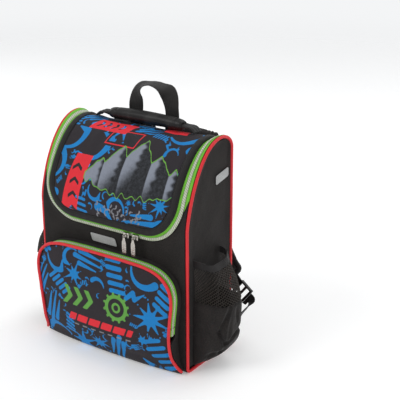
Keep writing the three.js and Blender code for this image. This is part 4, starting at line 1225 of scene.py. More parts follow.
@dataclass
class Lid:
    """The printed lid with its binding, and the zip round it."""

    drawing: Drawing
    outline: Outline
    rise: tuple = ((0, 0.25), (0.2, 0.3), (0.42, -0.15), (0.6, -0.6), (0.75, -1), (0.88, -0.85), (1, -0.1))
    arch: tuple = ((0, 0.4), (0.25, 1), (0.5, 0.3), (0.75, -1), (0.9, -0.7), (1, 0))
    print_rows: int = 172
    print_columns: int = 142
    print_sink: float = 0.3
    print_hollow: float = 2.0
    pucker: float = 0.5
    pucker_reach: float = 14
    seam_depth: float = 1.1
    seam_reach: float = 5
    binding_lap: float = 0.5
    binding_step: float = 2.2
    binding_columns: int = 13
    binding_round: float = 1.7
    coil_seat: float = -0.4
    coil_columns: int = 9
    tape_step: float = 2.5
    tape_columns: int = 7
    tooth: float = 2.8
    horn: Callable[[Array], Array] | None = None

    def lift(self, x: Array, s: Array) -> Array:
        """How far the lid stands over the outline."""
        d = self.drawing
        o = self.outline
        share = np.clip((s - o.lid_start) / (o.lid_stop - o.lid_start), 0, 1)
        across = np.maximum(0, 1 - (x / d.lid_half)**2)
        return d.lid_sag * ease(self.rise, share) + d.lid_crown * ease(self.arch, share) * across

    def panel(self) -> Piece:
        """The printed panel: sewn down all round and a little puckered beside the seam."""
        d = self.drawing
        o = self.outline
        inset = d.binding + d.clearance
        half, radius = d.lid_half - inset, d.lid_corner - inset
        rows = np.linspace(0, 1, self.print_rows)
        s = o.lid_start + inset + rows * (o.lid_stop - o.lid_start - inset)
        beside = np.clip((o.lid_start + d.lid_corner - s) / radius, 0, 1)
        reach = half - radius + radius * np.sqrt(np.maximum(1 - beside**2, 0))
        u, s = np.meshgrid(np.linspace(-1, 1, self.print_columns), s)
        x = u * reach[:, None]
        inside = np.minimum(half - np.abs(x), s - o.lid_start - inset)
        fade = smoothstep(0, self.pucker_reach, inside)
        pucker = Ripples(31, 26, stretch=1.6).at(x, s) * fade * self.pucker
        seam = -self.seam_depth * (1 - smoothstep(0, self.seam_reach, inside))
        out = d.lid_lift + d.lid_thick + self.lift(x, s) + pucker + seam - self.print_sink
        piece = Bench.cloth("lid_print", o.place(x, s, out), np.stack([x, s], -1))
        self.print_inks(piece)
        Bench.thicken(piece, d.lid_thick - self.print_hollow)
        return piece

    def print_inks(self, piece: Piece) -> None:
        """Stores the artwork on the lid's points."""
        x, s = self.flat_places(piece)
        start = self.outline.lid_start
        art = Artwork(47, (-112, start + 5), (112, self.outline.lid_stop + 4),
                      ((34, start + 92, 46), (-8, start + 76, 26), (74, start + 84, 26),
                       (-70, start + 40, 16), (-64, start + 72, 14), (-42, start + 176, 20)))
        art.scatter()
        red = slab(x, s, (-66, start + 46), (15, 46), 0.16)
        red = np.minimum(red, slab(x, s, (-40, start + 148), (34, 13), 0.35))
        red = np.minimum(red, slab(x, s, (60, start + 171), (20, 12), -0.3))
        dark = chevrons(s, x, (start + 46, -65), (40, 9), 4, 2.2)
        dark = np.minimum(dark, chevrons(x, s, (-40, start + 148), (26, 7), 4, 1.9, 0.35))
        frame = np.abs(slab(x, s, (-6, start + 128), (26, 13), 0.2)) - 0.9
        red = np.minimum(np.maximum(red, -dark), frame)
        Bench.paint(piece, "red", red)
        Bench.paint(piece, "blue", np.maximum(art.distance(x, s), -(frame - 3)))
        Bench.paint(piece, "green", np.full(x.shape, 30.0))
        flecks = Artwork(5, (-20, start + 14), (60, start + 30), sizes=(4.0, 3.0), tries=90)
        flecks.scatter()
        Bench.paint(piece, "grey", flecks.distance(x, s))
        far, facet = self.mountains((x - 28) / 1.16, (s - start - 44) / 1.16)
        Bench.paint(piece, "rock", far)
        Bench.paint(piece, "facet", facet)

    @staticmethod
    def mountains(x: Array, y: Array) -> tuple[Array, Array]:
        """A mountain ridge: the distance outside it and how light each face is."""
        peaks = ((-46, 40, 0.95), (-22, 62, 1.35), (6, 76, 1.5), (36, 58, 1.1), (62, 44, 1.0))
        jag = Ripples(77, 9, 14)
        top = np.full(x.shape, -60.0)
        facet = np.zeros(x.shape)
        for px, height, steep in peaks:
            flank = height - steep * np.abs(x - px) + 2.6 * jag.at(x, 0 * y)
            lit = smoothstep(-3, 3, px + 4 * jag.at(y, 0 * x + px) - x)
            near = flank > top
            facet = np.where(near, 0.15 + 0.75 * lit * smoothstep(-30, 14, y - flank + 26), facet)
            top = np.maximum(top, flank)
        low = 2.5 + 5 * jag.at(x, 0 * y + 40) + 0.0025 * x**2
        far = np.maximum((y - top) / 1.6, low - y)
        return np.maximum(far, np.abs(x - 8) - 74), facet

    @staticmethod
    def flat_places(piece: Piece) -> tuple[Array, Array]:
        """The place of each point in the flat cut, read back from the UV map."""
        corners = np.zeros(len(piece.data.loops), np.int32)
        piece.data.loops.foreach_get("vertex_index", corners)
        uv = np.zeros(len(piece.data.loops) * 2, np.float32)
        piece.data.uv_layers.active.data.foreach_get("uv", uv)
        flat = np.zeros((len(piece.data.vertices), 2))
        flat[corners] = uv.reshape(-1, 2)
        return flat[:, 0], flat[:, 1]

    def stations(self, step: float) -> tuple[Array, Array, Array, Array, Array]:
        """The lid's edge as stations: place across and along, the outward way and the run."""
        d = self.drawing
        o = self.outline
        up = np.arange(o.lid_start + d.lid_corner, o.lid_stop, step)[1:]
        up = np.append(up, o.lid_stop)
        arc = np.linspace(0, math.pi / 2, max(8, round(d.lid_corner * math.pi / 2 / step)))
        half = d.lid_half - d.lid_corner
        flat = np.linspace(0, half, max(4, round(half / step)))[:-1]
        x = np.concatenate([flat, half + d.lid_corner * np.sin(arc), np.full(up.shape, d.lid_half)])
        s = np.concatenate([0 * flat + o.lid_start, o.lid_start + d.lid_corner * (1 - np.cos(arc)), up])
        nx = np.concatenate([0 * flat, np.sin(arc), 1 + 0 * up])
        ns = np.concatenate([0 * flat - 1, -np.cos(arc), 0 * up])
        x, nx = (np.concatenate([-v[::-1], v[1:]]) for v in (x, nx))
        s, ns = (np.concatenate([v[::-1], v[1:]]) for v in (s, ns))
        run = np.concatenate([[0], np.cumsum(np.hypot(np.diff(x), np.diff(s)))])
        return x, s, nx, ns, run

    def ribbon(self, name: str, start: float, end: float, low: Array, high: Array, step: float) -> Piece:
        """A band beside the lid's edge.

        Args:
            name: Name of the piece.
            start: Distance from the edge to its inner side.
            end: Distance from the edge to its outer side.
            low: Its under face over the outline, for each station and place across.
            high: Its upper face, the same.
            step: Distance between stations.

        Returns:
            The piece.
        """
        d = self.drawing
        x, s, nx, ns, _ = self.stations(step)
        o = np.linspace(start, end, low.shape[1])
        share = 1 - np.clip(o / d.band_total, 0, 1)
        base = share[None] * self.lift(x, s)[:, None]
        px, ps = x[:, None] + nx[:, None] * o, s[:, None] + ns[:, None] * o
        upper = self.outline.place(px, ps, base + high)
        lower = self.outline.place(px, ps, base + low)
        return Bench.skin(name, upper, lower, flip=True)

    def binding(self) -> Piece:
        """The folded binding: rounded edges and small puckers round the corners."""
        d = self.drawing
        x, s, _, _, run = self.stations(self.binding_step)
        o = np.linspace(0, 1, self.binding_columns)
        round_off = (1 - np.abs(2 * o - 1)**4)[None]
        pucker = 0.25 * Ripples(41, 9).at(run, 0 * run)[:, None] * round_off
        top = d.lid_lift + d.lid_thick + self.binding_lap
        groove = 0.55 * np.exp(-((o - 0.27) / 0.05)**2)[None]
        high = top - self.binding_round + self.binding_round * round_off + pucker - groove
        low = np.full((1, self.binding_columns), d.lid_lift - self.binding_lap)
        return self.ribbon("lid_edge_binding", -d.binding, 0, low, high, self.binding_step)

    def teeth(self) -> Piece:
        """The coil: two rows of slanted teeth that meet in the middle."""
        d = self.drawing
        step = self.tooth / 4
        *_, run = self.stations(step)
        o = np.linspace(0, 1, self.coil_columns)
        lean = np.where(o < 0.5, o, 1 - o) * self.tooth
        tooth = 0.5 + 0.5 * np.cos(2 * math.pi * (run[:, None] + lean) / self.tooth)
        bulge = np.sqrt(np.maximum(1 - np.abs(2 * o - 1)**3, 0))[None]
        high = self.coil_seat + d.coil_thick * (0.5 + 0.34 * bulge + 0.16 * tooth * bulge)
        low = np.full((1, self.coil_columns), self.coil_seat + 0.2)
        return self.ribbon("zip_teeth", d.coil_start, d.coil_start + d.coil, low, high, step)

    def outer_tape(self, sign: int) -> Piece:
        """The tape between the coil and the side's piping, which runs out to a point below."""
        d = self.drawing
        o = self.outline
        edge = np.linspace(d.lid_half + d.tape_outer, d.panel_half, self.tape_columns)
        start = self.horn(edge) + 4 * d.clearance
        v = np.linspace(0, 1, 150)[:, None]
        s = start + v * (o.lid_stop - start)
        share = (1 - (edge - d.lid_half) / d.band_total)
        base = share * self.lift(np.full(s.shape, d.lid_half), s)
        bulge = 0.35 * (1 - np.abs(np.linspace(-1, 1, self.tape_columns))**3)
        upper = o.place(sign * edge, s, base - 0.35 + bulge)
        lower = o.place(sign * edge, s, base - d.tape_thick)
        return Bench.skin(f"outer_tape_{side_name(sign)}", upper, lower, flip=sign > 0)

    def build(self, wardrobe: Wardrobe) -> None:
        """Builds and dresses the lid and its zip."""
        d = self.drawing
        Bench.hand_over(self.panel(), wardrobe["lid"], "print", ["lid"])
        Bench.hand_over(self.binding(), wardrobe["binding"], "binding", ["lid_binding"])
        low = np.zeros((1, self.tape_columns))
        tape = self.ribbon("inner_tape", d.clearance, d.clearance + d.tape_inner, low,
                           low + d.tape_thick - 0.2, self.tape_step)
        Bench.hand_over(tape, wardrobe["tape"], "tape", ["zip_tape_inner"])
        Bench.hand_over(self.teeth(), wardrobe["coil"], "coil", ["zip_coil"])
        for sign in (-1, 1):
            tape = self.outer_tape(sign)
            Bench.hand_over(tape, wardrobe["tape"], "tape", [f"zip_tape_outer_{side_name(sign)}"])


@dataclass
class FrontPocket:
    """The printed front pocket with its piping, gusset and zip."""

    drawing: Drawing
    height: float = 166.0
    half: float = 124.0
    depth: float = 25.0
    crown: float = 12.0
    crown_power: float = 2.6
    wall: float = 2.5
    tape: float = 2.6
    coil: float = 5.0
    zip_end: float = 64.0
    gusset_ease: float = 14.0
    gusset_least: float = 1.1
    turned_under: float = 6.2
    tooth: float = 3.0
    panel_columns: int = 160
    panel_rows: int = 120
    panel_sink: float = 0.6
    panel_hollow: float = 1.2
    piping_rings: int = 480
    wall_columns: int = 9
    wall_bow: float = 0.7
    band_columns: int = 7
    band_round: float = 0.75
    tooth_depth: float = 0.45
    tape_rows: int = 360
    coil_rows: int = 1100
    edge: tuple = (
        (1.035, 0.035, 0.27, 0.65), (0.99, 0.1, 0.5, 0.85), (0.962, 0.2, 0.8, 0.95), (0.955, 0.36, 0.97, 1),
        (0.975, 0.54, 1, 1), (0.998, 0.7, 1, 0.85), (0.985, 0.8, 1, 0.65), (0.93, 0.885, 1, 0.45),
        (0.81, 0.955, 1, 0.25), (0.62, 0.99, 1, 0.1), (0.32, 1, 1, 0),
    )

    def edge_at(self, column: int, t: Array) -> Array:
        """One column of the edge's table (width, height, depth or crown) at a share of the way up."""
        count = len(self.edge) - 1
        return ease([(i / count, row[column]) for i, row in enumerate(self.edge)], t)

    def face(self, u: Array, t: Array, out: Array) -> Array:
        """Points of the face: u across from -1 to 1, t up from 0 to 1, out outside it."""
        crown = self.crown * self.edge_at(3, t) * (1 - np.abs(u)**self.crown_power)
        y = -self.drawing.depth / 2 - self.depth * self.edge_at(2, t) - crown - out
        x = u * self.half * self.edge_at(0, t)
        return np.stack(np.broadcast_arrays(x, y, self.height * self.edge_at(1, t)), -1)

    @property
    def seat(self) -> float:
        """How far behind the edge the gusset and the zip begin."""
        return self.drawing.piping + self.drawing.clearance + 0.9 * self.wall

    @property
    def band(self) -> float:
        """Depth of the zip with its tapes."""
        return 2 * self.tape + self.coil + 3 * self.drawing.clearance

    def panel(self) -> Piece:
        """The printed face, sewn in beside the piping, slightly uneven and turned under at its foot."""
        inset = self.drawing.piping + self.drawing.clearance / 3
        u, t = np.meshgrid(np.linspace(-1, 1, self.panel_columns), np.linspace(0, 1, self.panel_rows))
        waves = Ripples(51, 44)
        rim = smoothstep(0, 0.07, np.minimum(1 - np.abs(u), np.minimum(t * 1.3, (1 - t) * 2.2)))
        place = self.face(u, t, 0)
        uneven = 0.35 + 0.55 * waves.at(place[..., 0], place[..., 2])
        out = -self.panel_sink + rim * uneven - (1 - rim)
        place = self.face(u, t, np.minimum(out, 0.3))
        middle = self.height / 2
        place[..., 0] *= 1 - inset / 2 / self.half
        place[..., 2] = middle + (place[..., 2] - middle) * (1 - inset / middle)
        place[..., 2] -= self.turned_under * (1 - smoothstep(0, 0.14, t))
        piece = Bench.cloth("pocket_print", place, np.stack([place[..., 0], place[..., 2]], -1))
        self.print_inks(piece)
        Bench.thicken(piece, self.wall - self.panel_hollow)
        return piece

    @staticmethod
    def print_inks(piece: Piece) -> None:
        """Stores the artwork on the pocket's points."""
        points = Bench.points_of(piece)
        x, z = points[:, 0], points[:, 2]
        art = Artwork(83, (-118, 4), (118, 162), ((-44, 84, 22), (-20, 88, 20), (34, 92, 28), (0, 60, 17),
                                                  (-34, 56, 14), (36, 58, 15), (58, 56, 10)))
        art.scatter()
        green = chevrons(x, z, (-32, 92), (30, 15), 3, 3.6, 0.12)
        green = np.minimum(green, ring(x, z, (34, 94), 17, 2.7, 12))
        red = np.full(x.shape, 30.0)
        for middle, half in ((-50, 6.5), (-31, 9.5), (-8, 10), (15, 9.5), (38, 10), (56, 4.5)):
            red = np.minimum(red, slab(x, z, (middle, 58), (half, 6.2), 0.45))
        grey = np.full(x.shape, 30.0)
        for middle in np.linspace(-44, 52, 7):
            grey = np.minimum(grey, slab(x, z, (middle, 45.5), (4.6, 1.3), 0.45))
        Bench.paint(piece, "blue", art.distance(x, z))
        Bench.paint(piece, "red", red)
        Bench.paint(piece, "green", green)
        Bench.paint(piece, "grey", grey)

    def loop(self, count: int) -> tuple[Array, Array, Array]:
        """The face's edge as a closed line of evenly spaced points.

        Args:
            count: How many points.

        Returns:
            The points, the outward way at each and the way along.
        """
        u = np.linspace(-1, 1, 160)
        t = np.linspace(0, 1, 260)
        line = np.concatenate([
            self.face(u, 0 * u, 0), self.face(1 + 0 * t, t, 0)[1:], self.face(-u, 0 * u + 1, 0)[1:],
            self.face(-1 + 0 * t, t[::-1], 0)[1:],
        ])
        run = np.concatenate([[0], np.cumsum(np.linalg.norm(np.diff(line, axis=0), axis=1))])
        s = np.linspace(0, run[-1], count + 1)[:-1]
        points = np.stack([np.interp(s, run, line[:, i]) for i in range(3)], -1)
        along = unit(np.roll(points, -2, axis=0) - np.roll(points, 2, axis=0))
        out = unit(np.stack([along[:, 2], 0 * along[:, 0], -along[:, 0]], -1))
        return points, out, along

    def piping(self) -> Piece:
        """The covered cord from one lower corner of the face over the top to the other."""
        points, out, along = self.loop(self.piping_rings)
        keep = points[:, 2] > points[0, 2] + 0.01
        points, out, along = points[keep], out[keep], along[keep]
        a = np.linspace(0, 2 * math.pi, 15)[:-1]
        up = unit(np.cross(out, along))
        run = np.arange(float(len(points)))
        radius = self.drawing.piping * (0.97 + 0.03 * Ripples(61, 40).at(run, 0 * run))
        rings = points[:, None] + radius[:, None, None] * (
            out[:, None] * np.cos(a)[:, None] + up[:, None] * np.sin(a)[:, None])
        return Bench.loft("pocket_piping_cord", rings)

    def gusset(self) -> Piece:
        """The cloth wall between the body and the zip."""
        c = self.drawing.clearance
        points, out, _ = self.loop(300)
        reach = -self.drawing.depth / 2 - points[:, 1] - self.seat
        low, high = self.zip_end - self.gusset_ease, self.zip_end - self.gusset_ease / 7
        opening = smoothstep(low, high, points[:, 2])
        far = np.maximum(reach - self.band * opening, self.gusset_least)
        share = np.linspace(0, 1, self.wall_columns)
        bow = self.wall_bow * np.sin(math.pi * share) * smoothstep(4, 14, far)[:, None]
        y = -self.drawing.depth / 2 - (c + share * (far[:, None] - c))
        outer = points[:, None] - out[:, None] * bow[..., None]
        inner = points[:, None] - out[:, None] * np.full((1, self.wall_columns, 1), self.wall)
        outer[..., 1], inner[..., 1] = y, y
        return Bench.skin("pocket_wall", outer, inner, closed=True)

    def zip_band(self, name: str, start: float, wide: float, thick: float, count: int, teeth: bool) -> Piece:
        """One band of the zip round the sides and the top of the pocket."""
        points, out, _ = self.loop(count)
        first = int(np.argmin(np.linalg.norm(points - self.face(1.0, 0.36, 0), axis=1)))
        keep = np.roll(np.arange(count), -first)
        keep = keep[points[keep, 2] > self.zip_end]
        points, out = points[keep], out[keep]
        reach = -self.drawing.depth / 2 - points[:, 1] - self.seat
        share = np.linspace(0, 1, self.band_columns)
        near = (reach - self.band + start)[:, None]
        y = -self.drawing.depth / 2 - np.minimum(near + share * wide, reach[:, None])
        run = np.concatenate([[0], np.cumsum(np.linalg.norm(np.diff(points, axis=0), axis=1))])
        bulge = np.sqrt(np.maximum(1 - np.abs(2 * share - 1)**3, 0))[None]
        low = self.band_round * (1 - bulge) + np.zeros((len(run), 1))
        if teeth:
            lean = np.where(share < 0.5, share, 1 - share) * self.tooth
            tooth = 0.5 + 0.5 * np.cos(2 * math.pi * (run[:, None] + lean) / self.tooth)
            low = low + self.tooth_depth * (1 - tooth) * bulge
        outer = points[:, None] - out[:, None] * low[..., None]
        inner = points[:, None] - out[:, None] * np.full((1, self.band_columns, 1), thick)
        outer[..., 1], inner[..., 1] = y, y
        return Bench.skin(name, outer, inner)

    def build(self, wardrobe: Wardrobe) -> None:
        """Builds and dresses the pocket."""
        d = self.drawing
        c = d.clearance
        Bench.hand_over(self.panel(), wardrobe["face"], "print", ["pocket_face"])
        Bench.hand_over(self.piping(), wardrobe["piping"], "piping", ["pocket_piping"])
        Bench.hand_over(self.gusset(), wardrobe["cloth"], "cloth", ["pocket_gusset"])
        back = self.zip_band("pocket_tape_back", c, self.tape - c, d.tape_thick, self.tape_rows, False)
        Bench.hand_over(back, wardrobe["tape"], "tape", ["pocket_zip_tape_back"])
        coil = self.zip_band("pocket_teeth", self.tape + c, self.coil, d.coil_thick, self.coil_rows, True)
        Bench.hand_over(coil, wardrobe["coil"], "coil", ["pocket_zip_coil"])
        start = self.tape + self.coil + 2 * c
        front = self.zip_band("pocket_tape_front", start, self.tape, d.tape_thick, self.tape_rows, False)
        Bench.hand_over(front, wardrobe["tape"], "tape", ["pocket_zip_tape_front"])


@dataclass(frozen=True)
class Fold:
    """A crease in cloth: its two ends, how deep it falls in and how broad it is."""

    x_from: float
    y_from: float
    x_to: float
    y_to: float
    deep: float
    broad: float

    def at(self, x: Array, y: Array) -> Array:
        """How far the cloth falls in at places of the cut."""
        dx, dy = self.x_to - self.x_from, self.y_to - self.y_from
        t = np.clip(((x - self.x_from) * dx + (y - self.y_from) * dy) / (dx * dx + dy * dy), 0, 1)
        far = np.hypot(x - self.x_from - t * dx, y - self.y_from - t * dy) / self.broad
        profile = np.exp(-far**2) - 0.45 * np.exp(-(far - 1.9)**2)
        return 1.4 * self.deep * profile * (0.45 + 0.55 * np.sin(math.pi * t))


@dataclass
class SidePocket:
    """An open side pocket: a creased cloth pouch, a net above it and a bound rim."""

    drawing: Drawing
    sign: int
    bulge: float = 52.0
    front: float = 16.0
    length: float = 70.0
    bottom: float = 8.0
    height: float = 165.0
    wall: float = 2.0
    dip: float = 9.0
    pouch: float = 0.62
    rim: float = 0.94
    power: float = 2.8
    cut_length: float = 164.0
    rows: int = 76
    columns: int = 120
    rim_rows: int = 10
    net_length: float = 180.0
    net_cell: float = 2.8
    net_thread: float = 1.3
    belly: tuple = ((0, 0.07), (0.05, 0.4), (0.14, 0.72), (0.25, 0.94), (0.42, 1), (0.6, 1), (0.78, 0.84),
                    (0.9, 0.6), (1, 0.44))

    def point(self, a: Array, level: Array, inward: Array) -> Array:
        """Points of the pocket: a is the angle round it, level the share of its height."""
        a, level, inward = np.broadcast_arrays(a, level, inward)

        def bend(value: Array) -> Array:
            return np.sign(value) * np.abs(value)**(2 / self.power)

        half = self.length / 2
        d = self.drawing
        y = -d.depth / 2 + self.front + half - (half - inward) * bend(np.cos(a))
        out = np.maximum(self.bulge * ease(self.belly, level) - inward, 0) * bend(np.sin(a))
        dip = self.dip * level * level * np.sin(a)**2
        x = self.sign * (d.width / 2 + d.clearance + out)
        return np.stack([x, y, self.bottom + self.height * level - dip], -1)

    def angles(self, count: int) -> Array:
        """Angles that are evenly spaced along the pocket's curve at its widest."""
        a = np.linspace(0, math.pi, 2000)
        line = self.point(a, 0.5, 0)
        run = np.concatenate([[0], np.cumsum(np.linalg.norm(np.diff(line, axis=0), axis=1))])
        even = np.interp(np.linspace(0, run[-1], count), run, a)
        return even if self.sign > 0 else even[::-1]

    def folds(self, count: int, level: Array) -> Array:
        """How far the pouch falls in where it is crumpled."""
        run = np.linspace(0, self.cut_length, count)
        run = run if self.sign > 0 else run[::-1]
        table = (
            Fold(66, 100, 48, 60, 3.2, 5.0),
            Fold(48, 60, 60, 40, 3.6, 4.0),
            Fold(60, 40, 112, 60, 3.0, 5.0),
            Fold(36, 20, 92, 32, 2.4, 5.0),
            Fold(112, 98, 106, 48, 2.2, 6.0),
            Fold(22, 74, 38, 48, 1.8, 4.0),
            Fold(84, 92, 92, 66, 1.6, 5.0),
        )
        return sum(fold.at(run[None] + 0 * level, level * self.height) for fold in table)

    def creases(self, a: Array, level: Array) -> Array:
        """How far the cloth falls in: upright creases that fade towards the seams."""
        waves = Ripples(70 + self.sign, 0.62, 7, 2.5)
        fold = np.maximum(waves.at(a, level * 1.4), -0.2)
        sharp = np.maximum(Ripples(90 + self.sign, 0.3, 6, 5).at(a, level), 0)**2
        held = smoothstep(0, 0.5, np.sin(a)) * smoothstep(0, 0.1, level)
        return (2.2 * fold + 1.5 * sharp) * held

    def part(self, name: str, low: float, high: float, rows: int, thick: float, deep: float,
             seam: bool) -> Piece:
        """One band of the pocket with its folds."""
        a, level = np.meshgrid(self.angles(self.columns), np.linspace(low, high, rows))
        fall = 0.5 + deep * np.maximum(self.creases(a, level) + 0.5, 0)
        if seam:
            fall = fall + np.maximum(self.folds(self.columns, level) * smoothstep(0, 0.3, np.sin(a)), -0.2)
            fall = fall + 1.1 * np.exp(-((high - level) * self.height / 3.0)**2)
            fall = fall + 0.5 * np.exp(-((high - level) * self.height / 14.0 - 1)**2 * 3)
        place = self.point(a, level, fall)
        piece = Bench.cloth(name, place)
        Bench.thicken(piece, thick)
        return piece

    def net(self) -> Piece:
        """The net: six-sided cells joined into a sheet, then given threads and bent round the pocket."""
        side = self.net_cell
        step = side * 3**0.5 / 2
        high = (self.rim - self.pouch) * self.height - 1.0
        cells = []
        for place in ((0, 0, 0), (1.5 * side, step, 0)):
            Bench.clear()
            bpy.ops.mesh.primitive_circle_add(vertices=6, radius=side, fill_type="NGON", location=place)
            bpy.ops.object.transform_apply(location=True, rotation=True, scale=True)
            cells.append(Bench.named(f"side_net_{side_name(self.sign)}"))
        piece = Bench.join(cells)
        for count, offset in ((math.ceil(self.net_length / (3 * side)), (3 * side, 0, 0)),
                              (math.ceil(high / (2 * step)), (0, 2 * step, 0))):
            Bench.modifier(piece, "ARRAY", count=count, use_relative_offset=False, use_constant_offset=True,
                           constant_offset_displace=offset, use_merge_vertices=True,
                           merge_threshold=0.01 * side)
        Bench.modifier(piece, "WIREFRAME", thickness=self.net_thread, offset=0.0, use_even_offset=False,
                       use_boundary=True)
        flat = Bench.points_of(piece) * MM
        low_x, high_x = flat[:, 0].min(), flat[:, 0].max()
        low_y, high_y = flat[:, 1].min(), flat[:, 1].max()
        share = (flat[:, 0] - low_x) / (high_x - low_x)
        a = np.interp(share, np.linspace(0, 1, 200), np.linspace(0.02, 1, 200))
        even = self.angles(400)
        a = np.interp(a * 0.985, np.linspace(0, 1, 400), even)
        gap = 0.6 / self.height
        level = self.pouch + gap + (flat[:, 1] - low_y) / (high_y - low_y) * (self.rim - self.pouch - 2 * gap)
        inward = 1.1 - flat[:, 2] + 0.45 * np.maximum(self.creases(a, level), 0)
        Bench.lay(piece, self.point(a, level, inward))
        return piece

    def build(self, wardrobe: Wardrobe) -> None:
        """Builds and dresses the pocket."""
        side = side_name(self.sign)
        pouch = self.part(f"side_pouch_{side}", 0, self.pouch, self.rows, self.wall - 0.8, 1.0, True)
        Bench.hand_over(pouch, wardrobe["pocket"], "cloth", [f"side_pocket_{side}"])
        Bench.hand_over(self.net(), wardrobe["net"], "mesh", [f"side_pocket_mesh_{side}"])
        rim = self.part(f"side_rim_{side}", self.rim, 1, self.rim_rows, self.wall - 0.2, 0.4, False)
        Bench.hand_over(rim, wardrobe["edging"], "binding", [f"side_pocket_binding_{side}"])


@dataclass
class BackPads:
    """The padded back: two cushions of air mesh with a channel between them, and a gathered band."""

    drawing: Drawing
    outline: Outline
    thick: float = 9.0
    margin: float = 9.0
    top: float = 262.0
    bottom: float = 12.0
    lower_height: float = 78.0
    lower_half: float = 60.0
    channel: float = 8.0
    band_thick: float = 3.0
    rim: float = 0.35
    upper_rows: int = 120
    lower_rows: int = 50
    stitch_in: float = 5.0
    stitch_wide: float = 1.6
    gather_pitch: float = 5.2
    gather_wall: float = 0.9
    edge: tuple = ((0, 1), (0.4, 0.86), (0.76, 0.68), (0.9, 0.4), (1, 0.02))

    def cushion(self, name: str, half: float, low: Callable[[Array], Array], high: Callable[[Array], Array],
                rows: int) -> Piece:
        """A cushion between two edges, filled as cloth.

        Args:
            name: Name of the piece.
            half: Half its width.
            low: Its lower edge's height at each place across.
            high: Its upper edge's height.
            rows: Rows of faces up it.

        Returns:
            The piece.
        """
        c = self.drawing.clearance
        x, v = np.meshgrid(np.linspace(-half, half, 2 * rows), np.linspace(0, 1, rows))
        bottom, top = low(x), high(x)
        z = bottom + v * (top - bottom)
        beside = np.minimum(half - np.abs(x), np.minimum(z - bottom, top - z))
        dome = self.rim + (1 - self.rim) * np.sqrt(smoothstep(-1, 16, beside))
        front = self.outline.place(x, self.outline.down_back(z), c + (self.thick - 1.6) * dome)
        back = self.outline.place(x, self.outline.down_back(z), c + 0.4)
        piece = Bench.skin(name, front, back)
        Bench.inflate(piece, 3.6, 3.0, 1.6)
        self.quilt(piece, half, low, high)
        return piece

    def quilt(self, piece: Piece, half: float, low: Callable[[Array], Array],
              high: Callable[[Array], Array]) -> None:
        """Presses the sewn edge flat and keeps the cushion behind its own thickness and off the back."""
        points = Bench.points_of(piece)
        x, z = points[:, 0], points[:, 2]
        beside = np.minimum(half - np.abs(x), np.minimum(z - low(x), high(x) - z))
        face = self.drawing.depth / 2 + self.drawing.clearance
        out = points[:, 1] - face
        seam = 1 - 0.45 * np.exp(-((beside - self.stitch_in) / self.stitch_wide)**2)
        waves = 0.35 * Ripples(33, 34).at(x, z) * smoothstep(6, 16, beside)
        out = np.where(out > 2, out * seam + waves, out)
        points[:, 1] = face + np.clip(out, 0.05, self.thick + 0.4)
        Bench.lay(piece, points)

    def build(self, wardrobe: Wardrobe) -> None:
        """Builds and dresses the back."""
        d = self.drawing
        inner = self.lower_half + self.channel

        def under(x: Array) -> Array:
            share = np.minimum(np.abs(x) / inner, 1)
            rise = (self.lower_height + self.channel) * ease(self.edge, share)
            rise = rise + 0.4 * self.channel * (1 - share)
            return self.bottom + np.maximum(0, rise)

        def over(x: Array) -> Array:
            share = np.minimum(np.abs(x) / self.lower_half, 1)
            return self.bottom + 1 + self.lower_height * ease(self.edge, share)

        wide = d.width / 2 - self.margin
        upper = self.cushion("pad_upper", wide, under, lambda x: self.top + 0 * x, self.upper_rows)
        Bench.hand_over(upper, wardrobe["air"], "mesh", ["back_pad_upper"])
        lower = self.cushion("pad_lower", self.lower_half, lambda x: self.bottom + 0 * x, over,
                             self.lower_rows)
        Bench.hand_over(lower, wardrobe["air"], "mesh", ["back_pad_lower"])
        low, high = self.outline.lid_stop + 2 * d.clearance, self.outline.down_back(self.top + d.clearance)
        x, s = np.meshgrid(np.linspace(-wide, wide, 420), np.linspace(low, high, 16))
        gather = 0.5 + 0.5 * np.sin(x * 2 * math.pi / self.gather_pitch + 0.6 * Ripples(8, 30).at(x, s))
        held = np.sqrt(np.maximum(np.sin(math.pi * (s - low) / (high - low)), 0))
        out = d.clearance + 1.0 + (self.band_thick - 1.2) * (0.35 + 0.65 * held) * (0.4 + 0.6 * gather)
        band = Bench.cloth("gathered_band", self.outline.place(x, s, out), np.stack([x, s], -1))
        Bench.thicken(band, self.gather_wall)
        Bench.hand_over(band, wardrobe["band"], "mesh", ["back_band"])


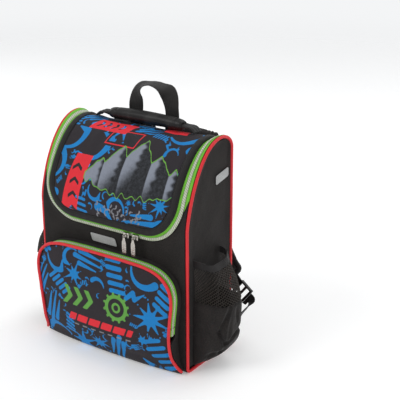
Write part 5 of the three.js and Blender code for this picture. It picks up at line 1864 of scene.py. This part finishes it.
@dataclass
class ShoulderStrap:
    """A padded strap with its folded edging, patch, webbing and buckle."""

    drawing: Drawing
    outline: Outline
    sign: int
    spacing: float = 58.0
    wide: float = 76.0
    thick: float = 9.0
    sewn_height: float = 280.0
    hump: float = 322.0
    tuck: float = 18.0
    stand_off: float = 22.0
    end_height: float = 92.0
    end_reach: float = 121.0
    band_room: float = 3.0
    pad_rows: int = 210
    pad_columns: int = 41
    stitches: tuple = ((3.2, 0.32), (9.0, 0.2))
    stitch_wide: float = 0.9
    edging: float = 8.0
    last: float = 0.97
    fold_share: float = 0.62
    webbing_thick: float = 2.0
    webbing_rows: int = 90
    webbing_columns: int = 15
    buckle_length: float = 24.0
    buckle_thick: float = 7.0
    buckle_rim: float = 4.0
    buckle_round: float = 1.3
    stub_on_strap: float = 26.0
    stub_beyond: float = 9.0
    anchor: float = 10.0
    pocket_end: float = 86.0
    slack: float = 3.0
    patch: tuple[float, float, float] = (45.0, 19.0, 0.66)
    patch_round: float = 4.5
    patch_thick: float = 0.5
    fall: tuple = ((0, 0.795, 1), (0, 1.045, 0.939), (0, 1.136, 0.804), (-0.016, 1.136, 0.578),
                   (0.063, 1.09, 0.383), (0.317, 1, 0.209), (0.683, 1, 0.07), (1, 1, 0))
    spread: tuple = ((0, 0.9), (0.12, 0.96), (0.3, 1), (0.6, 1.06), (0.8, 1.04), (1, 0.82))

    def __post_init__(self) -> None:
        """Lays the strap's middle line."""
        d = self.drawing
        back = d.depth / 2
        rows = [
            (self.sign * self.spacing, back + self.band_room + self.thick / 2 + 3 * d.clearance,
             self.sewn_height),
            (self.sign * self.spacing, back + d.lid_lift + d.lid_thick + self.thick / 2 + 4 * d.clearance,
             self.hump - self.tuck),
        ]
        for out, off, up in self.fall:
            rows.append((self.sign * (self.spacing + out * (self.end_reach - self.spacing)),
                         back + off * self.stand_off, self.end_height + up * (self.hump - self.end_height)))
        self.route = Route(rows)

    def point(self, v: Array, across: Array, out: Array) -> Array:
        """Points of the strap: v along it, across it and out from its middle face."""
        v, across, out = np.broadcast_arrays(np.asarray(v, float), across, out)
        place, along = self.route.at(v)
        level = unit(np.stack([np.sqrt(1 - along[..., 0]**2), 0 * v, along[..., 0]], -1))
        return place + level * across[..., None] + unit(np.cross(level, along)) * out[..., None]

    def half(self, v: Array) -> Array:
        """Half the strap's width."""
        return self.wide / 2 * ease(self.spread, v)

    def pad(self) -> Piece:
        """The padded part, with two stitched lines beside its edging."""
        v = np.linspace(0, self.last, self.pad_rows)
        half = self.half(v) - self.edging - 2 * self.drawing.clearance
        u = np.linspace(-1, 1, self.pad_columns)
        across = half[:, None] * u
        beside = half[:, None] * (1 - np.abs(u))
        dome = 0.8 + 0.2 * smoothstep(0, 1, 1 - np.abs(u))[None] + 0 * across
        groove = sum(deep * np.exp(-((beside - line) / self.stitch_wide)**2) for line, deep in self.stitches)
        waves = 0.05 * Ripples(19 + self.sign, 34).at(across, v[:, None] * self.route.length)
        high = self.thick / 2 * (dome - groove + np.minimum(waves, 0.0))
        outer = self.point(v[:, None], across, high)
        inner = self.point(v[:, None], across, -high)
        return Bench.skin(f"strap_pad_{side_name(self.sign)}", outer, inner, flip=True)

    def folded_edge(self) -> Piece:
        """The edging folded round both edges and the end, with a row of stitches."""
        c = self.drawing.clearance
        length = self.route.length
        v = np.linspace(0, self.last, 150)
        half = self.half(v)
        end_gap, gap = (self.edging - c) / length, c / length
        tip = self.half(np.array(self.last))
        turn = np.linspace(0, 1, 7)[1:-1]
        outer, inner = [], []
        for s in (-1, 1):
            rows_out = np.stack([v, s * half], 1)
            rows_in = np.stack([v, s * (half - self.edging)], 1)
            bend_out = np.stack([self.last + 0.94 * end_gap * np.sin(turn * math.pi / 2),
                                 s * tip * (1 - 0.26 * (1 - np.cos(turn * math.pi / 2)))], 1)
            bend_in = np.stack([self.last + gap + 0 * turn, s * (tip - self.edging) + 0 * turn], 1)
            rows_out, rows_in = np.concatenate([rows_out, bend_out]), np.concatenate([rows_in, bend_in])
            outer.append(rows_out if s < 0 else rows_out[::-1])
            inner.append(rows_in if s < 0 else rows_in[::-1])
        across = np.linspace(-0.72, 0.72, 20) * tip
        flat_out = np.stack([self.last + end_gap + 0 * across, across], 1)
        within = np.clip(across, self.edging - tip, tip - self.edging)
        flat_in = np.stack([self.last + gap + 0 * across, within], 1)
        outer = np.concatenate([outer[0], flat_out, outer[1]])
        inner = np.concatenate([inner[0], flat_in, inner[1]])
        share = np.linspace(0, 1, 9)
        place = outer[:, None] + (inner - outer)[:, None] * share[None, :, None]
        round_off = (1 - np.abs(2 * share - 1)**5)
        dent = 0.22 * np.exp(-((share - 0.75) / 0.1)**2)
        high = self.fold_share * self.thick / 2 * (0.45 + 0.55 * round_off - dent)
        upper = self.point(place[..., 0], place[..., 1], high[None])
        lower = self.point(place[..., 0], place[..., 1], -high[None])
        return Bench.skin(f"strap_edging_{side_name(self.sign)}", upper, lower, flip=True)

    def web(self, name: str, rows: Sequence[Array], across: Array, across_end: Array) -> Piece:
        """A length of webbing through points, its width turning from one direction to another."""
        route = Route(rows)
        v = np.linspace(0, 1, self.webbing_rows)
        place, along = route.at(v)
        lean = np.minimum(1, 1.5 * v)[:, None]
        normal = unit(np.cross(across * (1 - lean) + across_end * lean, along))
        level = unit(np.cross(along, normal))
        u = np.linspace(-1, 1, self.webbing_columns)
        edge = self.webbing_thick / 2 * (1 - 0.55 * np.abs(u)**9)
        middle = place[:, None] + level[:, None] * (u * self.drawing.webbing / 2)[:, None]
        rise = normal[:, None] * edge[:, None]
        return Bench.skin(name, middle + rise, middle - rise, flip=True)

    def end(self) -> tuple[Array, Array, Array, Array]:
        """The strap's end: its place and the ways along, across and out."""
        place, along = self.route.at(np.array(1.0))
        level = unit(np.array([math.sqrt(1 - along[0]**2), 0, along[0]]))
        return place, along, level, unit(np.cross(level, along))

    def ladder(self) -> Piece:
        """The buckle: a moulded frame with a bar across, its edges rounded."""
        place, along, across, _ = self.end()
        half = self.drawing.webbing / 2 + self.buckle_rim
        rim = self.buckle_rim
        gap = (self.buckle_length - 3 * rim) / 2
        bar = half - rim * 0.75
        Bench.clear()
        xs = [-half, -bar, bar, half]
        ys = [0, rim, rim + gap, 2 * rim + gap, 2 * rim + 2 * gap, self.buckle_length]
        bpy.ops.mesh.primitive_grid_add(x_subdivisions=3, y_subdivisions=5, size=2)
        piece = Bench.named(f"ladder_frame_{side_name(self.sign)}")
        flat = Bench.points_of(piece) * MM
        column = np.rint((flat[:, 0] + 1) / 2 * 3).astype(int)
        row = np.rint((flat[:, 1] + 1) / 2 * 5).astype(int)
        Bench.lay(piece, np.stack([np.array(xs)[column], np.array(ys)[row], 0 * flat[:, 0]], 1))
        bpy.ops.object.mode_set(mode="EDIT")
        bpy.ops.mesh.select_mode(type="FACE")
        bpy.ops.mesh.select_all(action="DESELECT")
        bpy.ops.object.mode_set(mode="OBJECT")
        for face in piece.data.polygons:
            x, y, _ = face.center / MM
            inside = abs(x) < bar
            face.select = inside and (rim < y < rim + gap or 2 * rim + gap < y < 2 * rim + 2 * gap)
        bpy.ops.object.mode_set(mode="EDIT")
        bpy.ops.mesh.delete(type="FACE")
        bpy.ops.object.mode_set(mode="OBJECT")
        Bench.modifier(piece, "SOLIDIFY", thickness=self.buckle_thick * MM * 0.82, offset=0.0)
        Bench.bevel(piece, self.buckle_round, 3)
        flat = Bench.points_of(piece)
        up = np.cross(across, along)
        start = place + along * (self.stub_beyond + self.drawing.clearance)
        points = start + flat[:, :1] * across + flat[:, 1:2] * along + flat[:, 2:3] * up
        Bench.lay(piece, points)
        return piece

    def reflector(self) -> Piece:
        """The sewn reflective patch."""
        length, wide, middle = self.patch
        u, v = np.meshgrid(np.linspace(-1, 1, 25), np.linspace(-1, 1, 60))
        beyond = np.maximum(np.abs(v) * length / 2 - length / 2 + self.patch_round, 0)
        narrow = self.patch_round - np.sqrt(np.maximum(self.patch_round**2 - beyond**2, 0))
        u = u * (wide / 2 - narrow)
        v = middle + v * length / 2 / self.route.length
        piece = Bench.cloth(f"strap_patch_{side_name(self.sign)}",
                            self.point(v, u, self.thick / 2 + self.drawing.clearance + self.patch_thick))
        Bench.thicken(piece, self.patch_thick, inward=False)
        return piece

    def build(self, wardrobe: Wardrobe) -> None:
        """Builds and dresses the strap."""
        side = side_name(self.sign)
        d = self.drawing
        pad = self.pad()
        Bench.hand_over(pad, wardrobe["strap"], "cloth", [f"shoulder_strap_{side}"])
        Bench.hand_over(self.folded_edge(), wardrobe["edging"], "binding", [f"strap_binding_{side}"])
        Bench.hand_over(self.reflector(), wardrobe["patch"], "reflective", [f"strap_reflector_{side}"])
        place, along, across, out = self.end()
        lie = self.thick / 2 + self.webbing_thick / 2 + d.clearance
        rows = [
            place - along * self.stub_on_strap + out * lie,
            place - along * self.stub_on_strap / 4 + out * lie,
            place + along * self.stub_beyond + out * lie / 2,
        ]
        stub = self.web(f"strap_stub_{side}", rows, across, across)
        Bench.hand_over(stub, wardrobe["webbing"], "binding", [f"strap_webbing_{side}"])
        Bench.hand_over(self.ladder(), wardrobe["plastic"], "plastic", [f"ladder_buckle_{side}"])
        start = place + along * (self.stub_beyond + self.buckle_length + 2 * d.clearance)
        low = np.array([self.sign * (d.width / 2 + 2 * d.clearance + self.webbing_thick / 2),
                        self.pocket_end + d.webbing / 2 + 2 * d.clearance - d.depth / 2, self.anchor])
        above = low + np.array([self.sign * self.slack, self.slack, d.webbing * 0.56])
        middle = (start + above) / 2 + np.array([self.sign * self.slack, self.slack, 0])
        rows = [start, start + along * self.buckle_length / 3, middle, above, low]
        web = self.web(f"lower_strap_{side}", rows, across, np.array([0.0, -self.sign, 0.0]))
        Bench.hand_over(web, wardrobe["webbing"], "binding", [f"lower_webbing_{side}"])


@dataclass
class Handle:
    """The moulded grip with its folded webbing ends, and the hanging loop behind it."""

    drawing: Drawing
    lid: Lid
    length: float = 132.0
    radius: float = 9.5
    behind: float = 91.0
    gap: float = 1.0
    arched: float = 2.0
    reach: float = 90.0
    knee: float = 8.0
    loop_top: float = 391.0
    loop_half: float = 45.0
    loop_behind: float = 108.0
    loop_thick: float = 2.4
    loop_turn: tuple = ((0, 0), (0.2, 0), (0.3, 0.3), (0.4, 0.86), (0.5, 1))

    def lid_face(self, x: float, s: float, out: float) -> Array:
        """A point over the lid's face."""
        d = self.drawing
        lift = float(self.lid.lift(np.array(x), np.array(s)))
        return self.lid.outline.place(x, s, d.lid_lift + d.lid_thick + lift + out)

    def along(self) -> float:
        """Where the grip lies along the outline."""
        return self.lid.outline.crown_at + self.behind - (self.drawing.depth - self.drawing.back_round_depth)

    def grip(self) -> Piece:
        """The grip: an oval bar with finger hollows underneath and rounded collars at its ends."""
        middle = self.lid_face(0, self.along(), self.radius + self.gap)
        share = np.linspace(0, 1, 120)
        x = (share - 0.5) * self.length
        size = ease(((0, 0.72), (0.03, 0.86), (0.12, 0.95), (0.5, 1), (0.88, 0.95), (0.97, 0.86), (1, 0.72)),
                    share)
        groove = 0.05 * (np.exp(-((share - 0.1) / 0.012)**2) + np.exp(-((share - 0.9) / 0.012)**2))
        a = np.linspace(0, 2 * math.pi, 33)[:-1]
        arched = self.arched * (1 - (x / (self.length / 2))**2)
        finger = 0.06 * (0.5 + 0.5 * np.cos(share * 2 * math.pi * 4))[:, None] * np.maximum(-np.sin(a), 0)
        radius = self.radius * ((size - groove)[:, None] * (1 - finger))
        y = middle[1] + 1.05 * radius * np.cos(a)
        z = middle[2] + arched[:, None] + radius * np.sin(a)
        rings = np.stack([np.broadcast_to(x[:, None], y.shape), y, z], -1)
        return Bench.loft("grip_bar", rings)

    def end(self, sign: int) -> Piece:
        """The folded webbing from the grip's end down to the lid, widening to its sewn foot."""
        middle = self.lid_face(0, self.along(), self.radius + self.gap)
        start = np.array([sign * (self.length / 2 + self.drawing.clearance), middle[1], middle[2]])
        foot = self.lid_face(sign * self.reach, self.along(), self.drawing.clearance + 1.0 + self.gap)
        knee = np.array([sign * (self.reach - self.knee), start[1], start[2]])
        route = Route([start, knee, foot])
        v = np.linspace(0, 1, 50)
        place, along = route.at(v)
        normal = unit(np.cross(np.array([0.0, 1.0, 0.0]), along))
        level = unit(np.cross(along, normal))
        u = np.linspace(-1, 1, 13)
        wide = 0.85 * self.radius * (0.86 + 0.3 * smoothstep(0, 0.5, v))[:, None] * u
        gathered = 0.84 + 0.16 * np.cos(3 * math.pi * u)
        thick = 1.9 * (1 - 0.5 * np.abs(u)**6) * gathered * (1 + 0.9 * np.exp(-(v / 0.22)**2))[:, None]
        middle = place[:, None] + level[:, None] * wide[..., None]
        rise = normal[:, None] * thick[..., None]
        return Bench.skin(f"grip_end_{side_name(sign)}", middle + rise, middle - rise, flip=sign > 0)

    def loop_foot(self) -> float:
        """Height where the loop's legs meet the lid."""
        o = self.lid.outline
        low, high = o.crown_at, o.lid_stop
        y = -self.drawing.depth / 2 + self.loop_behind - self.loop_thick / 2
        for _ in range(40):
            middle = (low + high) / 2
            if self.lid_face(self.loop_half, middle, self.drawing.clearance)[1] < y:
                low = middle
            else:
                high = middle
        return float(self.lid_face(self.loop_half, low, self.drawing.clearance)[2])

    def loop(self) -> Piece:
        """The loop of webbing: its legs lie flat, and it turns over on its way across the top."""
        leg = self.loop_half - self.drawing.webbing / 2
        back = np.array([0.0, 1.0, 0.0])
        foot = self.loop_foot()
        rise = self.loop_top - self.loop_thick / 2 - foot
        left = ((-1, 0), (-1.01, 0.45), (-0.78, 0.86))
        rows = [*left, (0, 1), *[(-x, z) for x, z in left[::-1]]]
        y = -self.drawing.depth / 2 + self.loop_behind
        route = Route([(leg * x, y, foot + rise * z) for x, z in rows])
        v = np.linspace(0, 1, 170)
        place, along = route.at(v)
        along[0], along[-1] = (0, 0, 1), (0, 0, -1)
        turn = math.pi / 2 * ease(self.loop_turn, np.minimum(v, 1 - v))[:, None]
        level = unit(np.cross(along, back)) * np.cos(turn) + back * np.sin(turn)
        normal = unit(np.cross(along, level))
        u = np.linspace(-1, 1, 31)
        wide = self.drawing.webbing / 2 * u[None] + 0 * v[:, None]
        sag = 0.35 * Ripples(14, 22).at(wide, v[:, None] * route.length)
        ribs = 0.86 + 0.14 * np.cos(9 * math.pi * u)
        thick = (self.loop_thick / 2 - 0.1) * (1 - 0.5 * np.abs(u)**10) * ribs
        middle = place[:, None] + level[:, None] * wide[..., None]
        outer = middle + normal[:, None] * (sag + thick)[..., None]
        inner = middle + normal[:, None] * (sag - thick)[..., None]
        return Bench.skin("loop_webbing", outer, inner)

    def build(self, wardrobe: Wardrobe) -> None:
        """Builds and dresses the handle and the loop."""
        Bench.hand_over(self.grip(), wardrobe["rubber"], "rubber", ["handle_grip"])
        for sign in (-1, 1):
            end = self.end(sign)
            Bench.hand_over(end, wardrobe["webbing"], "binding", [f"handle_webbing_{side_name(sign)}"])
        Bench.hand_over(self.loop(), wardrobe["loop"], "binding", ["hanging_loop"])


@dataclass
class Slider:
    """A zip slider with its bridge, and the pull that hangs from it."""

    node: str
    pull_node: str
    position: Array
    turn: float
    length: float = 10.0
    wide: float = 8.0
    high: float = 4.0
    bridge: float = 0.8
    rise: float = 3.0
    sink: float = 0.2
    pull_length: float = 27.0
    pull_wide: float = 7.0
    pull_thick: float = 1.6
    pull_rows: int = 60
    pull_columns: int = 15
    eye_radius: float = 1.95
    eye_wire: float = 0.5
    tab_start: float = 1.9

    def set_down(self, piece: Piece, out: float) -> None:
        """Turns a piece that was made at the origin and sets it on the zip, out from its seat."""
        points = Bench.points_of(piece)
        c, s = math.cos(self.turn), math.sin(self.turn)
        y = points[:, 1] - out
        moved = np.stack([c * points[:, 0] - s * y, s * points[:, 0] + c * y, points[:, 2]], 1)
        Bench.lay(piece, moved + self.position)

    def body(self) -> Piece:
        """The slider: a waisted block with a groove, and a wire bridge over it."""
        Bench.clear()
        bpy.ops.mesh.primitive_cube_add(size=1)
        block = Bench.named(self.node.replace("slider", "runner"))
        size = (self.length, self.high, self.wide)
        Bench.lay(block, Bench.points_of(block) * MM * size - (0, self.high / 2, 0))
        bpy.ops.object.mode_set(mode="EDIT")
        bpy.ops.mesh.select_all(action="SELECT")
        bpy.ops.mesh.subdivide(number_cuts=3)
        bpy.ops.object.mode_set(mode="OBJECT")
        points = Bench.points_of(block)
        waist = 1 - 0.2 * np.exp(-(points[:, 0] / 2.4)**2)
        points[:, 2] *= waist
        lowered = points[:, 1] + 0.5 * np.abs(points[:, 0]) / 5
        points[:, 1] = np.where(points[:, 1] < -self.high + 0.3, lowered, points[:, 1])
        Bench.lay(block, points)
        Bench.bevel(block, 0.5, 2, 30)
        half = self.length / 2 - 1.7
        a = np.linspace(0, math.pi, 25)
        top = -self.high + self.sink - self.rise - self.bridge
        arch = -self.high + 0.4 + (top + self.high - 0.4) * np.sin(a)**0.6
        centre = np.stack([half * np.cos(a), arch, 0 * a], 1)
        along = unit(np.gradient(centre, axis=0))
        side = np.array([0.0, 0.0, 1.0])
        b = np.linspace(0, 2 * math.pi, 13)[:-1]
        rings = centre[:, None] + self.bridge * (side * np.cos(b)[:, None]
                                                 + np.cross(along, side)[:, None] * np.sin(b)[:, None])
        wire = Bench.loft("bridge", rings, flip=True)
        piece = Bench.join([block, wire])
        self.set_down(piece, 0)
        return piece

    def pull(self) -> Piece:
        """The pull: an eye round the bridge and a tab with a ribbed hollow down its middle."""
        out = self.high - self.sink + self.rise + self.bridge
        Bench.clear()
        bpy.ops.mesh.primitive_torus_add(major_segments=28, minor_segments=10,
                                         major_radius=self.eye_radius * MM,
                                         minor_radius=self.eye_wire * MM, rotation=(0, math.pi / 2, 0))
        eye = Bench.named(self.pull_node.replace("pull", "tag"))
        bpy.ops.object.transform_apply(location=True, rotation=True, scale=True)
        v = np.linspace(0, 1, self.pull_rows)[:, None]
        u = np.linspace(-1, 1, self.pull_columns)[None]
        z = -self.tab_start - v * (self.pull_length - self.tab_start)
        outline = ((0, 0.5), (0.12, 0.62), (0.3, 1), (0.9, 1), (0.97, 0.86), (1, 0.6))
        half = self.pull_wide / 2 * ease(outline, v)
        frame = np.maximum(np.abs(u), np.abs(2 * v - 1.15) / 0.8)
        hollow = 0.32 * smoothstep(0.82, 0.7, frame) * (0.7 + 0.3 * np.cos(v * 2 * math.pi * 9))
        thick = (self.pull_thick / 2 - 0.05) * (1 - 0.25 * np.abs(u)**6) - hollow
        x = half * u
        front = np.stack(np.broadcast_arrays(x, -thick, z), -1)
        rear = np.stack(np.broadcast_arrays(x, thick, z), -1)
        tab = Bench.skin("tab", front, rear, flip=True)
        piece = Bench.join([eye, tab])
        self.set_down(piece, out)
        return piece

    def build(self, wardrobe: Wardrobe) -> None:
        """Builds and dresses the slider and its pull."""
        Bench.hand_over(self.body(), wardrobe["metal"], "metal", [self.node])
        Bench.hand_over(self.pull(), wardrobe["metal"], "metal", [self.pull_node], self.pull_node)


@dataclass
class Patches:
    """The reflective patches on the front and the sides."""

    drawing: Drawing
    front: tuple[float, float, float, float, float] = (46.0, 12.0, 4.0, -14.0, 9.0)
    side: tuple[float, float, float, float, float] = (32.0, 13.5, 6.0, 89.0, 278.0)
    thick: float = 0.6
    pocket_top: float = 166.0

    def slanted(self, name: str, long: float, tall: float, climb: float, slant: float) -> Piece:
        """A slanted patch with rounded corners, made flat in X and Z."""
        Bench.clear()
        bpy.ops.mesh.primitive_plane_add(size=2)
        piece = Bench.named(name)
        flat = Bench.points_of(piece) * MM
        x = flat[:, 0] * long / 2 - np.sign(flat[:, 1]) * slant / 2
        y = flat[:, 1] * tall / 2 + flat[:, 0] * climb / 2
        Bench.lay(piece, np.stack([x, y, 0 * x], 1))
        bpy.ops.object.mode_set(mode="EDIT")
        bpy.ops.mesh.select_all(action="SELECT")
        bpy.ops.mesh.bevel(offset=tall * 0.22 * MM, segments=6, affect="VERTICES")
        bpy.ops.mesh.select_all(action="SELECT")
        bpy.ops.mesh.inset(thickness=0.5 * MM)
        bpy.ops.object.mode_set(mode="OBJECT")
        Bench.thicken(piece, self.thick, inward=False)
        Bench.bevel(piece, 0.15, 2)
        points = Bench.points_of(piece)
        layer = piece.data.uv_layers.active.data
        for loop in piece.data.loops:
            layer[loop.index].uv = points[loop.vertex_index][:2]
        return piece

    def build(self, wardrobe: Wardrobe) -> None:
        """Builds and dresses the patches."""
        d = self.drawing
        long, tall, slant, x, above = self.front
        piece = self.slanted("front_patch", long, tall, 0, slant)
        flat = Bench.points_of(piece)
        y = -d.depth / 2 - d.clearance - flat[:, 2]
        z = flat[:, 1] + self.pocket_top + d.piping + above
        Bench.lay(piece, np.stack([flat[:, 0] + x, y, z], 1))
        Bench.hand_over(piece, wardrobe["patch"], "reflective", ["front_reflector"])
        long, tall, climb, behind, up = self.side
        for sign in (-1, 1):
            piece = self.slanted(f"side_patch_{side_name(sign)}", long, tall, climb, 0)
            flat = Bench.points_of(piece)
            out = sign * (d.width / 2 + d.clearance + flat[:, 2])
            Bench.lay(piece, np.stack([out, flat[:, 0] - d.depth / 2 + behind, flat[:, 1] + up], 1))
            Bench.hand_over(piece, wardrobe["patch"], "reflective", [f"side_reflector_{side_name(sign)}"])


@dataclass
class Studio:
    """The floor, the lights and the camera."""

    eye: tuple[float, float, float] = (854.69, -1086.64, 729.48)
    azimuth: float = 34.2138
    elevation: float = 20.1448
    lens: float = 89.269
    floor_size: float = 9.0
    fade: tuple[float, float] = (0.9, 3.2)
    glow: float = 0.5
    backdrop: float = 0.96

    def floor(self) -> None:
        """A pale floor that fades into the background at a distance from the bag."""
        Bench.clear()
        bpy.ops.mesh.primitive_plane_add(size=self.floor_size)
        floor = bpy.context.object
        floor.name = "floor"
        material = bpy.data.materials.new("Pale floor")
        material.use_nodes = True
        shader = material.node_tree.nodes["Principled BSDF"]
        shader.inputs["Base Color"].default_value = tone("#f4f4f4")
        shader.inputs["Roughness"].default_value = 0.9
        shader.inputs["Emission Color"].default_value = (1, 1, 1, 1)
        shader.inputs["Emission Strength"].default_value = 0.2
        graph = Graph(material.node_tree)
        reach = graph.node("ShaderNodeVectorMath")
        reach.operation = "LENGTH"
        graph.feed(reach.inputs[0], graph.node("ShaderNodeTexCoord").outputs["Object"])
        near, far = self.fade
        graph.feed(shader.inputs["Alpha"], graph.step(reach.outputs["Value"], far, near))
        floor.data.materials.append(material)

    @staticmethod
    def light(name: str, place: tuple[float, float, float], size: float, power: float) -> None:
        """A soft square light that faces the bag."""
        lamp = bpy.data.lights.new(name, "AREA")
        lamp.shape = "SQUARE"
        lamp.size = size
        lamp.energy = power
        holder = bpy.data.objects.new(name, lamp)
        holder.location = place
        way = Vector((0, 0, 0.18)) - Vector(place)
        holder.rotation_mode = "QUATERNION"
        holder.rotation_quaternion = way.to_track_quat("-Z", "Y")
        bpy.context.scene.collection.objects.link(holder)

    def build(self) -> None:
        """Sets the studio up."""
        self.floor()
        self.light("key", (-0.9, -1.7, 1.9), 1.2, 19)
        self.light("fill", (1.9, -1.2, 1.1), 1.6, 8)
        self.light("top", (0.2, 0.6, 2.2), 1.6, 12)
        self.light("back", (0.6, 2.2, 1.4), 1.5, 11)
        self.light("edge", (-1.9, 0.7, 1.0), 1.2, 7)
        world = bpy.data.worlds.new("studio")
        world.use_nodes = True
        world.node_tree.nodes["Background"].inputs["Color"].default_value = (0.94, 0.95, 0.96, 1)
        graph = Graph(world.node_tree)
        seen = graph.node("ShaderNodeLightPath").outputs["Is Camera Ray"]
        strength = graph.math("MULTIPLY_ADD", seen, self.backdrop - self.glow, self.glow)
        graph.feed(world.node_tree.nodes["Background"].inputs["Strength"], strength)
        bpy.context.scene.world = world
        bpy.context.scene.view_settings.view_transform = "Standard"
        data = bpy.data.cameras.new("camera")
        data.lens = self.lens
        data.sensor_width = 36
        data.clip_start, data.clip_end = 0.05, 50
        camera = bpy.data.objects.new("camera", data)
        a, e = math.radians(self.azimuth), math.radians(self.elevation)
        back = Vector((math.sin(a) * math.cos(e), -math.cos(a) * math.cos(e), math.sin(e)))
        camera.location = Vector(self.eye) * MM
        camera.rotation_mode = "QUATERNION"
        camera.rotation_quaternion = (-back).to_track_quat("-Z", "Y")
        bpy.context.scene.collection.objects.link(camera)
        bpy.context.scene.camera = camera


def main() -> None:
    """Loads the frame and dresses it piece by piece."""
    logging.basicConfig(level=logging.INFO, format="%(name)s: %(message)s")
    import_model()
    drawing = Drawing()
    outline = Outline(drawing)
    Studio().build()
    wardrobe = Wardrobe()
    shell = Shell(drawing, outline)
    shell.build(wardrobe)
    lid = Lid(drawing, outline, horn=shell.horn_top)
    lid.build(wardrobe)
    pocket = FrontPocket(drawing)
    pocket.build(wardrobe)
    for sign in (-1, 1):
        SidePocket(drawing, sign).build(wardrobe)
        ShoulderStrap(drawing, outline, sign).build(wardrobe)
    BackPads(drawing, outline).build(wardrobe)
    Handle(drawing, lid).build(wardrobe)
    middle = outline.lid_start - drawing.coil_start - drawing.coil / 2
    for count, x in enumerate(drawing.sliders_at, start=1):
        lift = float(lid.lift(np.array(x), np.array(outline.lid_start)))
        seat = outline.place(x, middle, drawing.tape_thick + lift + drawing.clearance)
        Slider(f"zip_slider_{count}", f"zip_pull_{count}", seat, 0.0).build(wardrobe)
    out = pocket.tape + drawing.clearance + pocket.coil / 2 - pocket.seat - pocket.band
    seat = pocket.face(np.array(-1.0), np.array(drawing.pocket_slider_up), np.array(out))
    seat = seat - (3 * drawing.clearance, 0, 0)
    Slider("pocket_slider", "pocket_pull", seat, -math.pi / 2).build(wardrobe)
    Patches(drawing).build(wardrobe)
    Bench.clear()
    bpy.context.view_layer.update()


if __name__ == "__main__":
    main()
